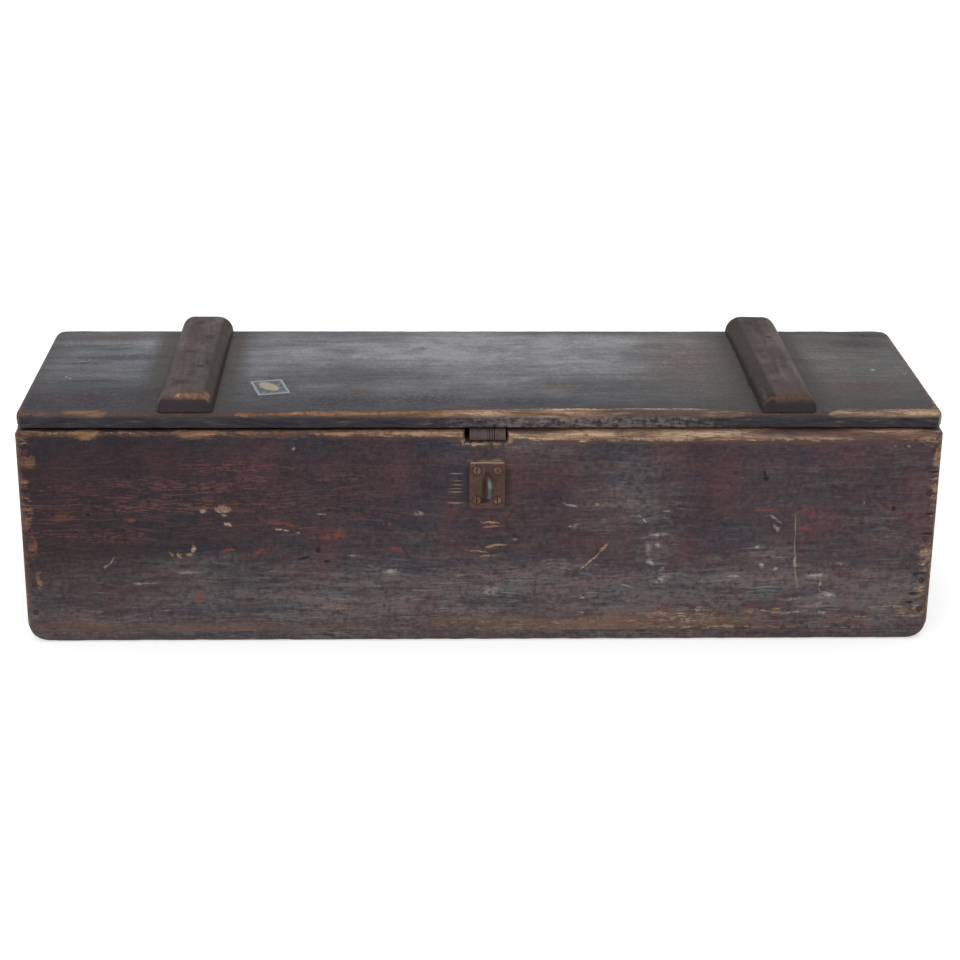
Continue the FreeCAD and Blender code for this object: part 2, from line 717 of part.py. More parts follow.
def make_batten(word, middle):
    """A batten with sloping sides and worn arrises."""
    body = doc.addObject("PartDesign::Body", f"{word}_batten_blank")
    sketch = sketch_on(body, "XZ_Plane")
    corners = (Vector(-2, 0), Vector(2, 0), Vector(1, 1), Vector(-1, 1))
    for number, corner in enumerate(corners):
        sketch.addGeometry(Part.LineSegment(corner, corners[(number + 1) % 4]))
    for number in range(4):
        sketch.addConstraint(Sketcher.Constraint("Coincident", number, 2, (number + 1) % 4, 1))
    sketch.addConstraint(Sketcher.Constraint("PointOnObject", 0, 1, -1))
    sketch.addConstraint(Sketcher.Constraint("Symmetric", 0, 1, 0, 2, -2))
    sketch.addConstraint(Sketcher.Constraint("Symmetric", 2, 2, 2, 1, -2))
    spans = (
        ("base", Sketcher.Constraint("DistanceX", 0, 1, 0, 2, 4)),
        ("crown", Sketcher.Constraint("DistanceX", 2, 2, 2, 1, 2)),
        ("rise", Sketcher.Constraint("DistanceY", 0, 1, 2, 2, 1)),
    )
    for label, constraint in spans:
        sketch.renameConstraint(sketch.addConstraint(constraint), label)
    bind(sketch, Constraints__base="batten_base_width", Constraints__crown="batten_top_width",
         Constraints__rise="batten_height")
    pad(body, sketch, "batten_length", backwards=True)
    place(body, middle, "batten_inset - box_face", "closed_height")
    round_edges(body, "batten_corner_round", [("front",), ("back",)], not_on=("top", "under"))
    round_edges(body, "batten_top_round", [("top",)])
    return cut(f"{word}_batten", body, lid_batten_nails)


def make_lid_label():
    """A paper label stuck askew on the lid."""
    paper = doc.addObject("Part::Box", "lid_label")
    bind(paper, Length="label_width", Width="label_length", Height="label_thickness")
    return place(paper, "label_batten_reach - left_batten_reach", "label_setback - box_face",
                 "closed_height", LABEL_TURN)


lid_board = make_lid_board()
left_batten = make_batten("left", "-left_batten_reach")
right_batten = make_batten("right", "right_batten_reach")
lid_label = make_lid_label()

# Every piece under the name that a joiner would use

NODES = {
    "front_board": front_board,
    "back_board": back_board,
    "left_end_board": left_end_board,
    "right_end_board": right_end_board,
    "bottom_board": bottom_board,
    "front_corner_nails": front_corner_nails,
    "back_corner_nails": back_corner_nails,
    "bottom_nails": underside_nails,
    "staple_plate": staple_plate,
    "staple_loop": staple_loop,
    "staple_screws": staple_screws,
    "left_hinge_box_leaf": left_hinge["box_leaf"],
    "right_hinge_box_leaf": right_hinge["box_leaf"],
    "left_hinge_pin": left_hinge["pin"],
    "right_hinge_pin": right_hinge["pin"],
    "hinge_box_screws": hinge_box_screws,
    "lid_board": lid_board,
    "left_batten": left_batten,
    "right_batten": right_batten,
    "batten_nails": lid_batten_nails,
    "left_hinge_lid_leaf": left_hinge["lid_leaf"],
    "right_hinge_lid_leaf": right_hinge["lid_leaf"],
    "hinge_lid_screws": hinge_lid_screws,
    "hasp_lid_leaf": hasp_lid_leaf,
    "hasp_screws": hasp_screws,
    "hasp_pin": hasp_pin,
    "hasp_strap": hasp_strap,
    "lid_label": lid_label,
}

doc.recompute()
for item in doc.Objects:
    if "Invalid" in item.State or "Error" in item.State:
        raise RuntimeError(f"{item.Name} failed: {item.State}")

os.makedirs("parts", exist_ok=True)
for label, node in NODES.items():
    node.Label = label
    if node.Shape.isNull() or not node.Shape.isValid():
        raise RuntimeError(f"{label} has no valid shape")
    node.Shape.exportStep(f"parts/{label}.step")
    print(label, len(node.Shape.Solids), "solids", round(node.Shape.Volume), "mm3")
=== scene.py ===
"""Looks of a long wooden tool box, built round its packed construction model."""

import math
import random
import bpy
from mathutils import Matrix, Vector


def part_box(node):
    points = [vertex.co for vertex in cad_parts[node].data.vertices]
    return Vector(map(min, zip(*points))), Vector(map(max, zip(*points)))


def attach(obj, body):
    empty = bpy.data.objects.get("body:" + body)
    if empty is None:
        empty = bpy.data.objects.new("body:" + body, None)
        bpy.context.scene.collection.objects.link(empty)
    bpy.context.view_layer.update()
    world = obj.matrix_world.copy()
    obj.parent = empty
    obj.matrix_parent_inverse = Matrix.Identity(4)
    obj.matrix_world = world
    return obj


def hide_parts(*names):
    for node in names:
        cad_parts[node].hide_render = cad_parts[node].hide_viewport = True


bl_info = {
    "name": "Wooden Tool Box",
    "version": (1, 0, 0),
    "blender": (4, 5, 0),
    "location": "3D View > Sidebar > Tool Box",
    "description": "Adds a worn, painted pine tool box with a hinged plank lid",
    "category": "Add Mesh",
}

import bpy
from bpy.props import FloatProperty, FloatVectorProperty, PointerProperty
from mathutils import Matrix, Vector

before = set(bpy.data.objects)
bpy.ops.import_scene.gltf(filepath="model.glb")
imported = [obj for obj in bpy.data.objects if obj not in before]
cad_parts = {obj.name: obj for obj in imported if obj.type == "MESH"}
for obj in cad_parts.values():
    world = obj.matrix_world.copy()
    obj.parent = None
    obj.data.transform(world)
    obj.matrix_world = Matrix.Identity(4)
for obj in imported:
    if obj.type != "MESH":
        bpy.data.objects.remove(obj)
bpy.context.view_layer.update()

MM = 0.001
# Lengths this near are the same in modelling, and points this near are merged
SAME = 0.02 * MM
MERGE = 0.01 * MM
AXES = (Vector((1, 0, 0)), Vector((0, 1, 0)), Vector((0, 0, 1)))
# How far a cutter reaches past the faces that it opens
CUT_PAST = 5 * MM
# A nail's pit goes this far under the top of its head, and its cutter is this long
PIT_UNDER = 1.4 * MM
PIT_DEPTH = 2.4 * MM
# The wells of the hinge leaves: a little deeper and wider than the leaves
MORTISE_DEPTH = 2.1 * MM
MORTISE_GAP = 0.1 * MM
# Edges sharper than the first angle are softened, and those sharper than the second stay crisp in shading
SOFT_ANGLE = math.radians(50)
CRISP_ANGLE = math.radians(35)


def linear(code):
    """Linear colour of an sRGB hex value."""
    values = []
    for start in (1, 3, 5):
        value = int(code[start:start + 2], 16) / 255
        values.append(value / 12.92 if value <= 0.04045 else ((value + 0.055) / 1.055) ** 2.4)
    return (*values, 1.0)


# Sizes and colours that a user would change

def colour(name, description, code):
    """A colour property whose default is an sRGB hex value."""
    return FloatVectorProperty(name=name, description=description, subtype="COLOR", size=4,
                               min=0.0, max=1.0, default=linear(code))


class BoxShape(bpy.types.PropertyGroup):
    """Wear of the woodwork."""

    wear_depth: FloatProperty(
        name="Wear Depth", description="How deep hands and knocks have worn the outer arrises",
        default=1.6 * MM, min=0.0, max=0.004, subtype="DISTANCE", unit="LENGTH")
    seam_round: FloatProperty(
        name="Seam Round", description="Round of the sawn edges where two boards meet",
        default=0.7 * MM, min=0.0, max=0.002, subtype="DISTANCE", unit="LENGTH")
    nail_clearance: FloatProperty(
        name="Nail Clearance", description="Gap between a nail's head and the wood round it",
        default=0.15 * MM, min=0.0, max=0.001, subtype="DISTANCE", unit="LENGTH")
    step: FloatProperty(
        name="Section Spacing", description="Distance between the cross sections along a board",
        default=7.5 * MM, min=0.003, max=0.05, subtype="DISTANCE", unit="LENGTH")


class BoxColours(bpy.types.PropertyGroup):
    """Colours of wood, paint, dirt and iron."""

    pine_cream: colour("Fresh Pine", "Pine laid bare where wear is heaviest", "#D4BEA6")
    pine_light: colour("Worn Pine", "Early wood of pine laid bare on an arris", "#AE937A")
    pine_warm: colour("Oiled Pine", "Bare pine that hands have oiled", "#875F44")
    pine_brown: colour("Stained Pine", "Bare pine stained by old paint", "#644737")
    pine_dark: colour("Dirt", "Dirt in the grain of bare pine", "#41302A")
    coat_black: colour("Dark Coat", "Paint of the box where it is thickest", "#2A2126")
    coat_brown: colour("Brown Coat", "Old brown-black oil paint of the box", "#3D2E33")
    coat_plum: colour("Faded Coat", "Paint that has gone plum brown", "#4A373C")
    coat_blue: colour("Cool Coat", "Paint that has gone blue-black", "#2F2F38")
    coat_grey: colour("Dusty Coat", "Paint rubbed grey and dusty", "#67605F")
    lid_dark: colour("Dark Lid Coat", "Charcoal paint of the lid where it is thickest", "#2F2F33")
    lid_slate: colour("Lid Coat", "Charcoal paint on the lid", "#46464A")
    # Rubbed paint together with a painted sheen on the lid's top
    lid_rubbed_and_sheen: colour("Rubbed Lid Coat", "Charcoal paint rubbed pale by use", "#88898E")
    # Brown dirt, and the painted shade on the lid beside the battens
    lid_dirt_and_shade: colour("Brown Lid Coat", "Brown dirt on the lid", "#45413E")
    batten_dark: colour("Dark Batten Coat", "Paint of the battens where it is thickest", "#332E2F")
    batten_coat: colour("Batten Coat", "Brown paint on the battens", "#4A4341")
    batten_grey: colour("Rubbed Batten Coat", "Paint of the battens rubbed grey-brown", "#65605B")
    stain: colour("Stained Border", "Wood stained by thin paint round a worn place", "#5A453C")
    chalk: colour("Pale Splashes", "Drips and splashes of pale paint", "#A9A49E")
    rust: colour("Rust", "Brown rust on iron fittings", "#5E4238")
    iron: colour("Dark Iron", "Iron gone brown-grey", "#4A3F3F")


# Modelling helpers

def select_only(*things):
    """Leave only these objects selected, and make the first one active."""
    if bpy.context.object and bpy.context.object.mode != "OBJECT":
        bpy.ops.object.mode_set(mode="OBJECT")
    bpy.ops.object.select_all(action="DESELECT")
    for thing in things:
        thing.select_set(True)
    bpy.context.view_layer.objects.active = things[0] if things else None


def open_mesh(piece):
    """Enter a piece's edit mode with all of its mesh selected."""
    select_only(piece)
    bpy.ops.object.mode_set(mode="EDIT")
    bpy.ops.mesh.select_all(action="SELECT")


def settle():
    """Move the active object's place, turn and scale into its mesh."""
    bpy.ops.object.transform_apply(location=True, rotation=True, scale=True)


def start_block(name, low, high):
    """A cube primitive between two corners, its place in its mesh."""
    select_only()
    size = high - low
    bpy.ops.mesh.primitive_cube_add(size=1, location=(low + high) / 2, scale=size)
    piece = bpy.context.object
    piece.name = name
    piece.data.name = name
    settle()
    return piece


def pick_edges(piece, wanted):
    """Enter edit mode with only those edges selected whose two ends pass the test."""
    select_only(piece)
    bpy.ops.object.mode_set(mode="EDIT")
    bpy.ops.mesh.select_mode(type="EDGE")
    bpy.ops.mesh.select_all(action="DESELECT")
    bpy.ops.object.mode_set(mode="OBJECT")
    points = [vertex.co for vertex in piece.data.vertices]
    for edge in piece.data.edges:
        edge.select = wanted(*(points[number] for number in edge.vertices))
    bpy.ops.object.mode_set(mode="EDIT")


def round_edges(piece, wanted, width, segments):
    """Bevel the edges whose two ends pass the test."""
    pick_edges(piece, wanted)
    bpy.ops.mesh.bevel(offset=width, segments=segments, affect="EDGES", clamp_overlap=False)
    bpy.ops.object.mode_set(mode="OBJECT")


def near(value, target):
    """Whether two lengths are the same for modelling."""
    return abs(value - target) < SAME


def slice_at(piece, axis, place, drop=None):
    """Cut a piece by a plane across an axis; drop is the side taken away, or None for neither."""
    open_mesh(piece)
    bpy.ops.mesh.bisect(plane_co=AXES[axis] * place, plane_no=AXES[axis], use_fill=drop is not None,
                        clear_outer=drop == "above", clear_inner=drop == "below")
    bpy.ops.object.mode_set(mode="OBJECT")


def add_sections(piece, axis, spacing):
    """Cross sections along an axis, so that wear can move the arrises between them."""
    values = [vertex.co[axis] for vertex in piece.data.vertices]
    low, high = min(values), max(values)
    count = int((high - low) / spacing)
    open_mesh(piece)
    for number in range(1, count):
        point = AXES[axis] * (low + (high - low) * number / count)
        bpy.ops.mesh.select_all(action="SELECT")
        bpy.ops.mesh.bisect(plane_co=point, plane_no=AXES[axis])
    bpy.ops.object.mode_set(mode="OBJECT")


def soften(piece, width):
    """Round every edge that is still sharp."""
    select_only(piece)
    bevel = piece.modifiers.new("soften", "BEVEL")
    bevel.width = width
    bevel.segments = 2
    bevel.limit_method = "ANGLE"
    bevel.angle_limit = SOFT_ANGLE
    bevel.use_clamp_overlap = True
    bpy.ops.object.modifier_apply(modifier=bevel.name)


def subtract(piece, *cutters):
    """Take the shapes of other objects out of a piece in one cut, and remove those objects."""
    select_only(*cutters)
    bpy.ops.object.join()
    settle()
    cutter = bpy.context.object
    select_only(piece)
    boolean = piece.modifiers.new("subtract", "BOOLEAN")
    boolean.operation = "DIFFERENCE"
    boolean.solver = "EXACT"
    boolean.object = cutter
    bpy.ops.object.modifier_apply(modifier=boolean.name)
    bpy.data.objects.remove(cutter)


def hold_flats(piece, low, high, reach):
    """Cuts that keep the flat faces flat when the arrises of a form are worn."""
    for axis in range(3):
        values = [vertex.co[axis] for vertex in piece.data.vertices]
        for place in (low[axis] + reach, high[axis] - reach):
            if min(values) + MM < place < max(values) - MM:
                slice_at(piece, axis, place)


def fastener_boxes(name):
    """The lowest and highest corner of each fastener in a node of the frame."""
    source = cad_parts[name]
    copy = source.copy()
    copy.data = source.data.copy()
    copy.parent = None
    bpy.context.scene.collection.objects.link(copy)
    open_mesh(copy)
    bpy.ops.mesh.remove_doubles(threshold=MERGE)
    bpy.ops.mesh.separate(type="LOOSE")
    bpy.ops.object.mode_set(mode="OBJECT")
    boxes = []
    for part in list(bpy.context.selected_objects):
        points = [vertex.co for vertex in part.data.vertices]
        boxes.append((Vector(min(point[axis] for point in points) for axis in range(3)),
                      Vector(max(point[axis] for point in points) for axis in range(3))))
        bpy.data.objects.remove(part)
    return boxes


def head_pits(name, axis, side, clearance):
    """Cutters of the round pits for nail heads that go into a piece from one side."""
    turn = (math.radians(90), 0, 0) if axis == 1 else (0, 0, 0)
    pits = []
    for low, high in fastener_boxes(name):
        middle = (low + high) / 2
        head = high[axis] if side > 0 else low[axis]
        middle[axis] = head + side * (PIT_DEPTH / 2 - PIT_UNDER)
        radius = (high[0] - low[0]) / 2 + clearance
        select_only()
        bpy.ops.mesh.primitive_cylinder_add(vertices=24, radius=radius, depth=PIT_DEPTH,
                                            location=middle, rotation=turn)
        pits.append(bpy.context.object)
    return pits


def mortises(leaves, low_z, high_z):
    """Cutters of shallow mortises for hinge leaves, open at the back."""
    gap = Vector((1, 1, 0)) * MORTISE_GAP
    blocks = []
    for leaf in leaves:
        low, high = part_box(leaf)
        blocks.append(start_block("mortise", Vector((low.x, low.y, low_z)) - gap,
                                  Vector((high.x, high.y + CUT_PAST, high_z)) + gap))
    return blocks


def wear_arrises(piece, low, high, reach, depth, grain, seed):
    """Wear the arrises of a form inwards by a random depth that wanders along them."""
    middle = (low + high) / 2
    half = (high - low) / 2
    group = piece.vertex_groups.new(name="arrises")
    for vertex in piece.data.vertices:
        gaps = sorted(half[axis] - abs(vertex.co[axis] - middle[axis]) for axis in range(3))
        weight = 1 - gaps[1] / reach
        if weight > 0:
            group.add([vertex.index], weight, "REPLACE")
    clouds = bpy.data.textures.new(f"{piece.name}_wear", "CLOUDS")
    clouds.noise_scale = grain
    clouds.noise_depth = 2
    shift = bpy.data.objects.new(f"{piece.name}_wear_place", None)
    bpy.context.scene.collection.objects.link(shift)
    shift.location = Vector((seed, 2 * seed, 3 * seed)) * 0.1
    select_only(piece)
    displace = piece.modifiers.new("wear", "DISPLACE")
    displace.texture = clouds
    displace.texture_coords = "OBJECT"
    displace.texture_coords_object = shift
    displace.vertex_group = group.name
    displace.mid_level = 0.0
    displace.strength = -depth
    bpy.ops.object.modifier_apply(modifier=displace.name)
    bpy.data.objects.remove(shift)
    piece.vertex_groups.clear()


def finish_piece(piece, material, body, slot, *nodes):
    """Shade a piece, give it its material and place it in the frame."""
    open_mesh(piece)
    bpy.ops.mesh.normals_make_consistent(inside=False)
    bpy.ops.object.mode_set(mode="OBJECT")
    bpy.ops.object.shade_smooth_by_angle(angle=CRISP_ANGLE)
    piece.data.materials.clear()
    piece.data.materials.append(material)
    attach(piece, body)
    if nodes:
        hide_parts(*nodes)


# Shader helpers

def node(tree, kind, inputs=None, stops=None, **settings):
    """Add a node with its settings, its values or links, and its ramp's stops; return its outputs."""
    item = tree.nodes.new("ShaderNode" + kind)
    for name, value in settings.items():
        setattr(item, name, value)
    for key, value in (inputs or {}).items():
        if isinstance(value, bpy.types.NodeSocket):
            tree.links.new(value, item.inputs[key])
        else:
            item.inputs[key].default_value = value
    if stops:
        elements = item.color_ramp.elements
        while len(elements) < len(stops):
            elements.new(0.5)
        for element, (place, shade) in zip(elements, stops):
            element.position = place
            element.color = (shade, shade, shade, 1) if isinstance(shade, (int, float)) else shade
    return item.outputs


def new_material(name):
    """An empty node material, its tree and the shader that ends it."""
    material = bpy.data.materials.new(name)
    material.use_nodes = True
    tree = material.node_tree
    tree.nodes.clear()
    output = tree.nodes.new("ShaderNodeOutputMaterial")
    shader = tree.nodes.new("ShaderNodeBsdfPrincipled")
    tree.links.new(shader.outputs[0], output.inputs["Surface"])
    return material, tree, shader


def colours():
    """The colours set in the scene."""
    return bpy.context.scene.tool_box_colours


def places_in_mm(tree):
    """The place on a piece in millimetres, from the origin of the box."""
    objects = node(tree, "TexCoord")["Object"]
    return node(tree, "VectorMath", {0: objects, "Scale": 1 / MM}, operation="SCALE")[0]


def laid_over(tree, coat, *layers):
    """Tones laid over a coat, each where a pattern is high.

    A layer is its pattern, the levels where it starts and is full, its strength there, and its tone.
    """
    for pattern, start, full, strength, tone in layers:
        shade = node(tree, "MapRange", {0: pattern, 1: start, 2: full, 4: strength})[0]
        coat = node(tree, "Mix", {0: shade, 6: coat, 7: tone}, data_type="RGBA")[2]
    return coat


# Tones of single marks and stains

COOL_TINT, EVEN_TINT, WARM_TINT = (linear(code) for code in ("#B3BCC0", "#BCBCBC", "#C5BBB7"))
INSIDE_DARK, INSIDE_BROWN, INSIDE_LIGHT = (linear(code) for code in ("#5E4431", "#73543C", "#876547"))
INSIDE_LINES = linear("#3E2B20")
INSIDE_STAIN = linear("#30241D")
SMOKED_COAT = linear("#1C1719")
TAN_WOOD = linear("#85695A")
THIN_RED = linear("#66403A")
THIN_RED_SIDES = linear("#5F3A33")
CHIP_BROWN, CHIP_RED, CHIP_ORANGE = (linear(code) for code in ("#5C3D37", "#6E443B", "#82563F"))
RED_OXIDE = linear("#7F463A")
PLATE_SHADE = linear("#27252A")
SCRATCHED_WOOD = linear("#8E8470")
KNOT_BLACK = linear("#16151A")
# Warmer rubbed paint and painted sheen where the lid is brown
WARM_RUB_AND_SHEEN = linear("#8A867E")
LID_STAIN = linear("#4E3B33")
LID_MOTTLE = linear("#37303A")
CRACK_DARK = linear("#232226")
SPECK_PALE = linear("#B9B7B4")
EDGE_BLACK, EDGE_BLUE, EDGE_WOOD = (linear(code) for code in ("#2A282D", "#3C3A3E", "#6B5848"))
SCUFF_GREY = linear("#817670")
BATTEN_RUDDY = linear("#5F4541")
BATTEN_RED = linear("#453431")
# Darker paint and painted shade on the batten slopes that face the middle of the box
BATTEN_SLOPE_SHADE = linear("#2F2A25")
BATTEN_END = linear("#332D32")
NAIL_STAIN = linear("#1A1718")
PIT_RUST = linear("#2E201B")
# Pale painted highlight along the top edge of the staple plate
IRON_EDGE_HIGHLIGHT = linear("#9A8C7E")
IRON_DIRT_AND_SHADOW = linear("#2A1F1C")
PLATE_BROWN = linear("#503F3A")
SCREW_BROWN = linear("#7A6052")
LOOP_BRIGHT, LOOP_DARK, LOOP_RUST = (linear(code) for code in ("#6E767A", "#4B4444", "#553E35"))
HASP_PLUM = linear("#5A4A4C")
NAIL_BROWN, NAIL_BLACK, NAIL_DULL = (linear(code) for code in ("#4A3A34", "#34302F", "#433A36"))
LABEL_BORDER = linear("#868786")
LABEL_FIELD = linear("#434B57")
LABEL_LEAF = linear("#958C72")
LABEL_DUST = linear("#8D8A84")


# Patterns of old painted pine: what they follow, the size of a feature in millimetres, and the detail
# and roughness of the noise. Growth lines are drawn a little coarser than life, so that they show.
# Noise runs from about 0.3 to 0.7, and the levels in the materials pick its low and high places
PATTERNS = {
    "fine": ("grain", 1.5, 2.0, 0.50),
    "lines": ("grain", 2.4, 3.0, 0.60),
    "bands": ("grain", 7.0, 4.0, 0.60),
    "streaks": ("streak", 3.2, 4.0, 0.65),
    "dashes": ("streak", 1.4, 2.0, 0.50),
    "blotches": ("place", 46.0, 5.0, 0.62),
    "clouds": ("place", 110.0, 3.0, 0.55),
    "patches": ("streak", 14.0, 4.0, 0.62),
    "flecks": ("place", 5.0, 4.0, 0.70),
    "specks": ("place", 2.2, 2.0, 0.55),
}


class Surface:
    """Patterns that every wooden piece shares, on places in millimetres."""

    def __init__(self, tree, low, high, along, seed):
        self.tree = tree
        self.low, self.high = low / MM, high / MM
        self.place = places_in_mm(tree)
        axes = node(tree, "SeparateXYZ", {0: self.place})
        self.x, self.y, self.z = axes[0], axes[1], axes[2]
        # Pine's growth lines wander by a few millimetres in every hand's breadth
        bent = self.ragged(26.0, 120.0, seed)
        stretched = {"place": self.place}
        for name, factor in (("grain", 0.03), ("streak", 0.12)):
            stretch = [1.0, 1.0, 1.0]
            stretch[along] = factor
            stretched[name] = node(tree, "VectorMath", {0: bent, 1: stretch}, operation="MULTIPLY")[0]
        for number, (name, (follows, size, detail, rough)) in enumerate(PATTERNS.items()):
            inputs = {"Vector": stretched[follows], "W": seed + number, "Scale": 1 / size,
                      "Detail": detail, "Roughness": rough}
            setattr(self, name, node(tree, "TexNoise", inputs, noise_dimensions="4D")["Fac"])
        self.arris = self.arris_distance()

    def arris_distance(self):
        """Distance from the nearest outer arris of the block, in millimetres."""
        tree = self.tree
        middle = (self.low + self.high) / 2
        half = (self.high - self.low) / 2
        offset = node(tree, "VectorMath", {0: self.place, 1: middle}, operation="SUBTRACT")[0]
        size = node(tree, "VectorMath", {0: offset}, operation="ABSOLUTE")[0]
        gaps = node(tree, "VectorMath", {0: half, 1: size}, operation="SUBTRACT")[0]
        axes = node(tree, "SeparateXYZ", {0: gaps})
        lower = node(tree, "Math", {0: axes[0], 1: axes[1]}, operation="MINIMUM")[0]
        upper = node(tree, "Math", {0: axes[0], 1: axes[1]}, operation="MAXIMUM")[0]
        inner = node(tree, "Math", {0: upper, 1: axes[2]}, operation="MINIMUM")[0]
        return node(tree, "Math", {0: lower, 1: inner}, operation="MAXIMUM")[0]

    def ragged(self, amount, size, seed):
        """The place shifted by noise, so that marks laid on it have ragged outlines."""
        tree = self.tree
        wander = node(tree, "TexNoise", {"Vector": self.place, "W": seed, "Scale": 1 / size, "Detail": 3.0},
                      noise_dimensions="4D")["Color"]
        shift = node(tree, "VectorMath", {0: wander, 1: (0.5, 0.5, 0.5)}, operation="SUBTRACT")[0]
        return node(tree, "VectorMath", {0: shift, 1: (amount, amount, amount), 2: self.place},
                    operation="MULTIPLY_ADD")[0]

    def along(self, axis, values):
        """A value that changes along an axis: pairs of a place in millimetres and the value there."""
        places = [place for place, value in values]
        first, last = min(places), max(places)
        way = node(self.tree, "MapRange", {0: axis, 1: first, 2: last})[0]
        stops = [((place - first) / (last - first), value) for place, value in values]
        return node(self.tree, "ValToRGB", {0: way}, stops=stops)[0]

    def worn(self, reach, rough):
        """1 where paint is worn off the arrises, in to a ragged line near a reach in millimetres."""
        tree = self.tree
        edge = node(tree, "Math", {0: self.streaks, 1: rough, 2: self.arris}, operation="MULTIPLY_ADD")[0]
        edge = node(tree, "Math", {0: self.flecks, 1: 0.6 * rough, 2: edge}, operation="MULTIPLY_ADD")[0]
        edge = node(tree, "Math", {0: edge, 1: reach}, operation="SUBTRACT")[0]
        middle = 0.8 * rough
        bare = node(tree, "MapRange", {0: edge, 1: middle + 1.2, 2: middle - 1.0},
                    interpolation_type="SMOOTHSTEP")[0]
        # Paint is left in the low places of the worn strip
        return self.varied(bare, (self.patches, 0.48, 0.62, 1.0, 0.15), (self.dashes, 0.56, 0.66, 1.0, 0.35))

    def varied(self, value, *patterns, clamp=False):
        """A value times a factor for each pattern: the pattern, two of its levels, the factors there."""
        for pattern, first, last, start, end in patterns:
            factor = node(self.tree, "MapRange", {0: pattern, 1: first, 2: last, 3: start, 4: end})[0]
            value = node(self.tree, "Math", {0: value, 1: factor}, operation="MULTIPLY",
                         use_clamp=clamp)[0]
        return value

    def toned(self, coat, *patterns):
        """A coat made darker and lighter by patterns: each with two levels and the tones there."""
        for pattern, first, last, dark, light in patterns:
            tone = node(self.tree, "MapRange", {0: pattern, 1: first, 2: last, 3: dark, 4: light})[0]
            coat = node(self.tree, "Mix", {0: 1.0, 6: coat, 7: tone}, data_type="RGBA",
                        blend_type="MULTIPLY")[2]
        return coat

    def lay_bare(self, coat, reach, rough, cream, chips=0.0):
        """Pine that shows through a coat along the arrises and in chips, within a stained border."""
        tree = self.tree
        wide = node(tree, "Math", {0: reach, 1: BORDER_WIDTH}, operation="ADD")[0]
        stained = node(tree, "Math", {0: self.worn(wide, 1.5 * rough), 1: 0.8}, operation="MULTIPLY")[0]
        coat = node(tree, "Mix", {0: stained, 6: coat, 7: colours().stain}, data_type="RGBA")[2]
        bare = node(tree, "Math", {0: self.worn(reach, rough), 1: chips}, operation="MAXIMUM")[0]
        return node(tree, "Mix", {0: bare, 6: coat, 7: self.pine(cream)}, data_type="RGBA")[2]

    def chipped(self, shade, low, high, most):
        """Marks with broken, flaky outlines, from soft ovals."""
        shade = self.varied(shade, (self.flecks, 0.38, 0.60, 0.2, 1.7), (self.streaks, 0.38, 0.60, 0.6, 1.3))
        return node(self.tree, "MapRange", {0: shade, 1: low, 2: high, 4: most})[0]

    def dashed(self, shade, most):
        """Soft ovals broken into short dashes that follow the grain."""
        shade = self.varied(shade, (self.dashes, 0.49, 0.62, 0.05, 1.4), (self.flecks, 0.38, 0.56, 0.05, 1.4))
        return node(self.tree, "MapRange", {0: shade, 1: 0.12, 2: 0.7, 4: most})[0]

    def marks(self, place, spots, depth, upright=True):
        """Soft ovals on an upright or a level face: 1 at a spot's middle, falling to 0 at its edge.

        A spot is its middle, its half length and half height in millimetres, and its turn in degrees
        where it has one.
        """
        tree = self.tree
        shade = 0.0
        for across, up, length, height, *turns in spots:
            turn = sum(turns)
            if upright:
                middle, size, angle = (across, depth, up), (length, MARK_DEPTH, height), (0, -turn, 0)
            else:
                middle, size, angle = (across, up, depth), (length, height, MARK_DEPTH), (0, 0, turn)
            local = node(tree, "Mapping", {
                "Vector": place, "Location": middle, "Rotation": [math.radians(item) for item in angle],
                "Scale": [MARK_SPREAD * item for item in size]}, vector_type="TEXTURE")[0]
            oval = node(tree, "TexGradient", {0: local}, gradient_type="SPHERICAL")["Fac"]
            shade = node(tree, "Math", {0: oval, 1: shade}, operation="MAXIMUM")[0]
        return shade

    def pine(self, cream):
        """Bare old pine: honey or cream early wood, dark growth lines, and dirt in the grain."""
        tree, paint = self.tree, colours()
        cream = self.varied(cream, (self.patches, 0.36, 0.62, 1.15, 0.35), clamp=True)
        warm = node(tree, "ValToRGB", {0: self.bands}, stops=(
            (0.36, paint.pine_brown), (0.53, paint.pine_warm), (0.72, paint.pine_light)))[0]
        light = node(tree, "ValToRGB", {0: self.bands}, stops=(
            (0.30, paint.pine_warm), (0.48, paint.pine_light), (0.70, paint.pine_cream)))[0]
        worn = node(tree, "Mix", {0: cream, 6: warm, 7: light}, data_type="RGBA")[2]
        return laid_over(tree, worn, (self.fine, 0.52, 0.66, 0.6, paint.pine_brown),
                         (self.flecks, 0.50, 0.70, 0.65, paint.pine_dark))

    def mottled(self, coat, strength):
        """A coat that has turned cooler or redder from place to place."""
        tree = self.tree
        mixed = node(tree, "Mix", {0: 0.5, 2: self.blotches, 3: self.patches})[0]
        tint = node(tree, "ValToRGB", {0: mixed}, stops=(
            (0.42, COOL_TINT), (0.50, EVEN_TINT), (0.58, WARM_TINT)))[0]
        return node(tree, "Mix", {0: strength, 6: coat, 7: tint}, data_type="RGBA", blend_type="OVERLAY")[2]

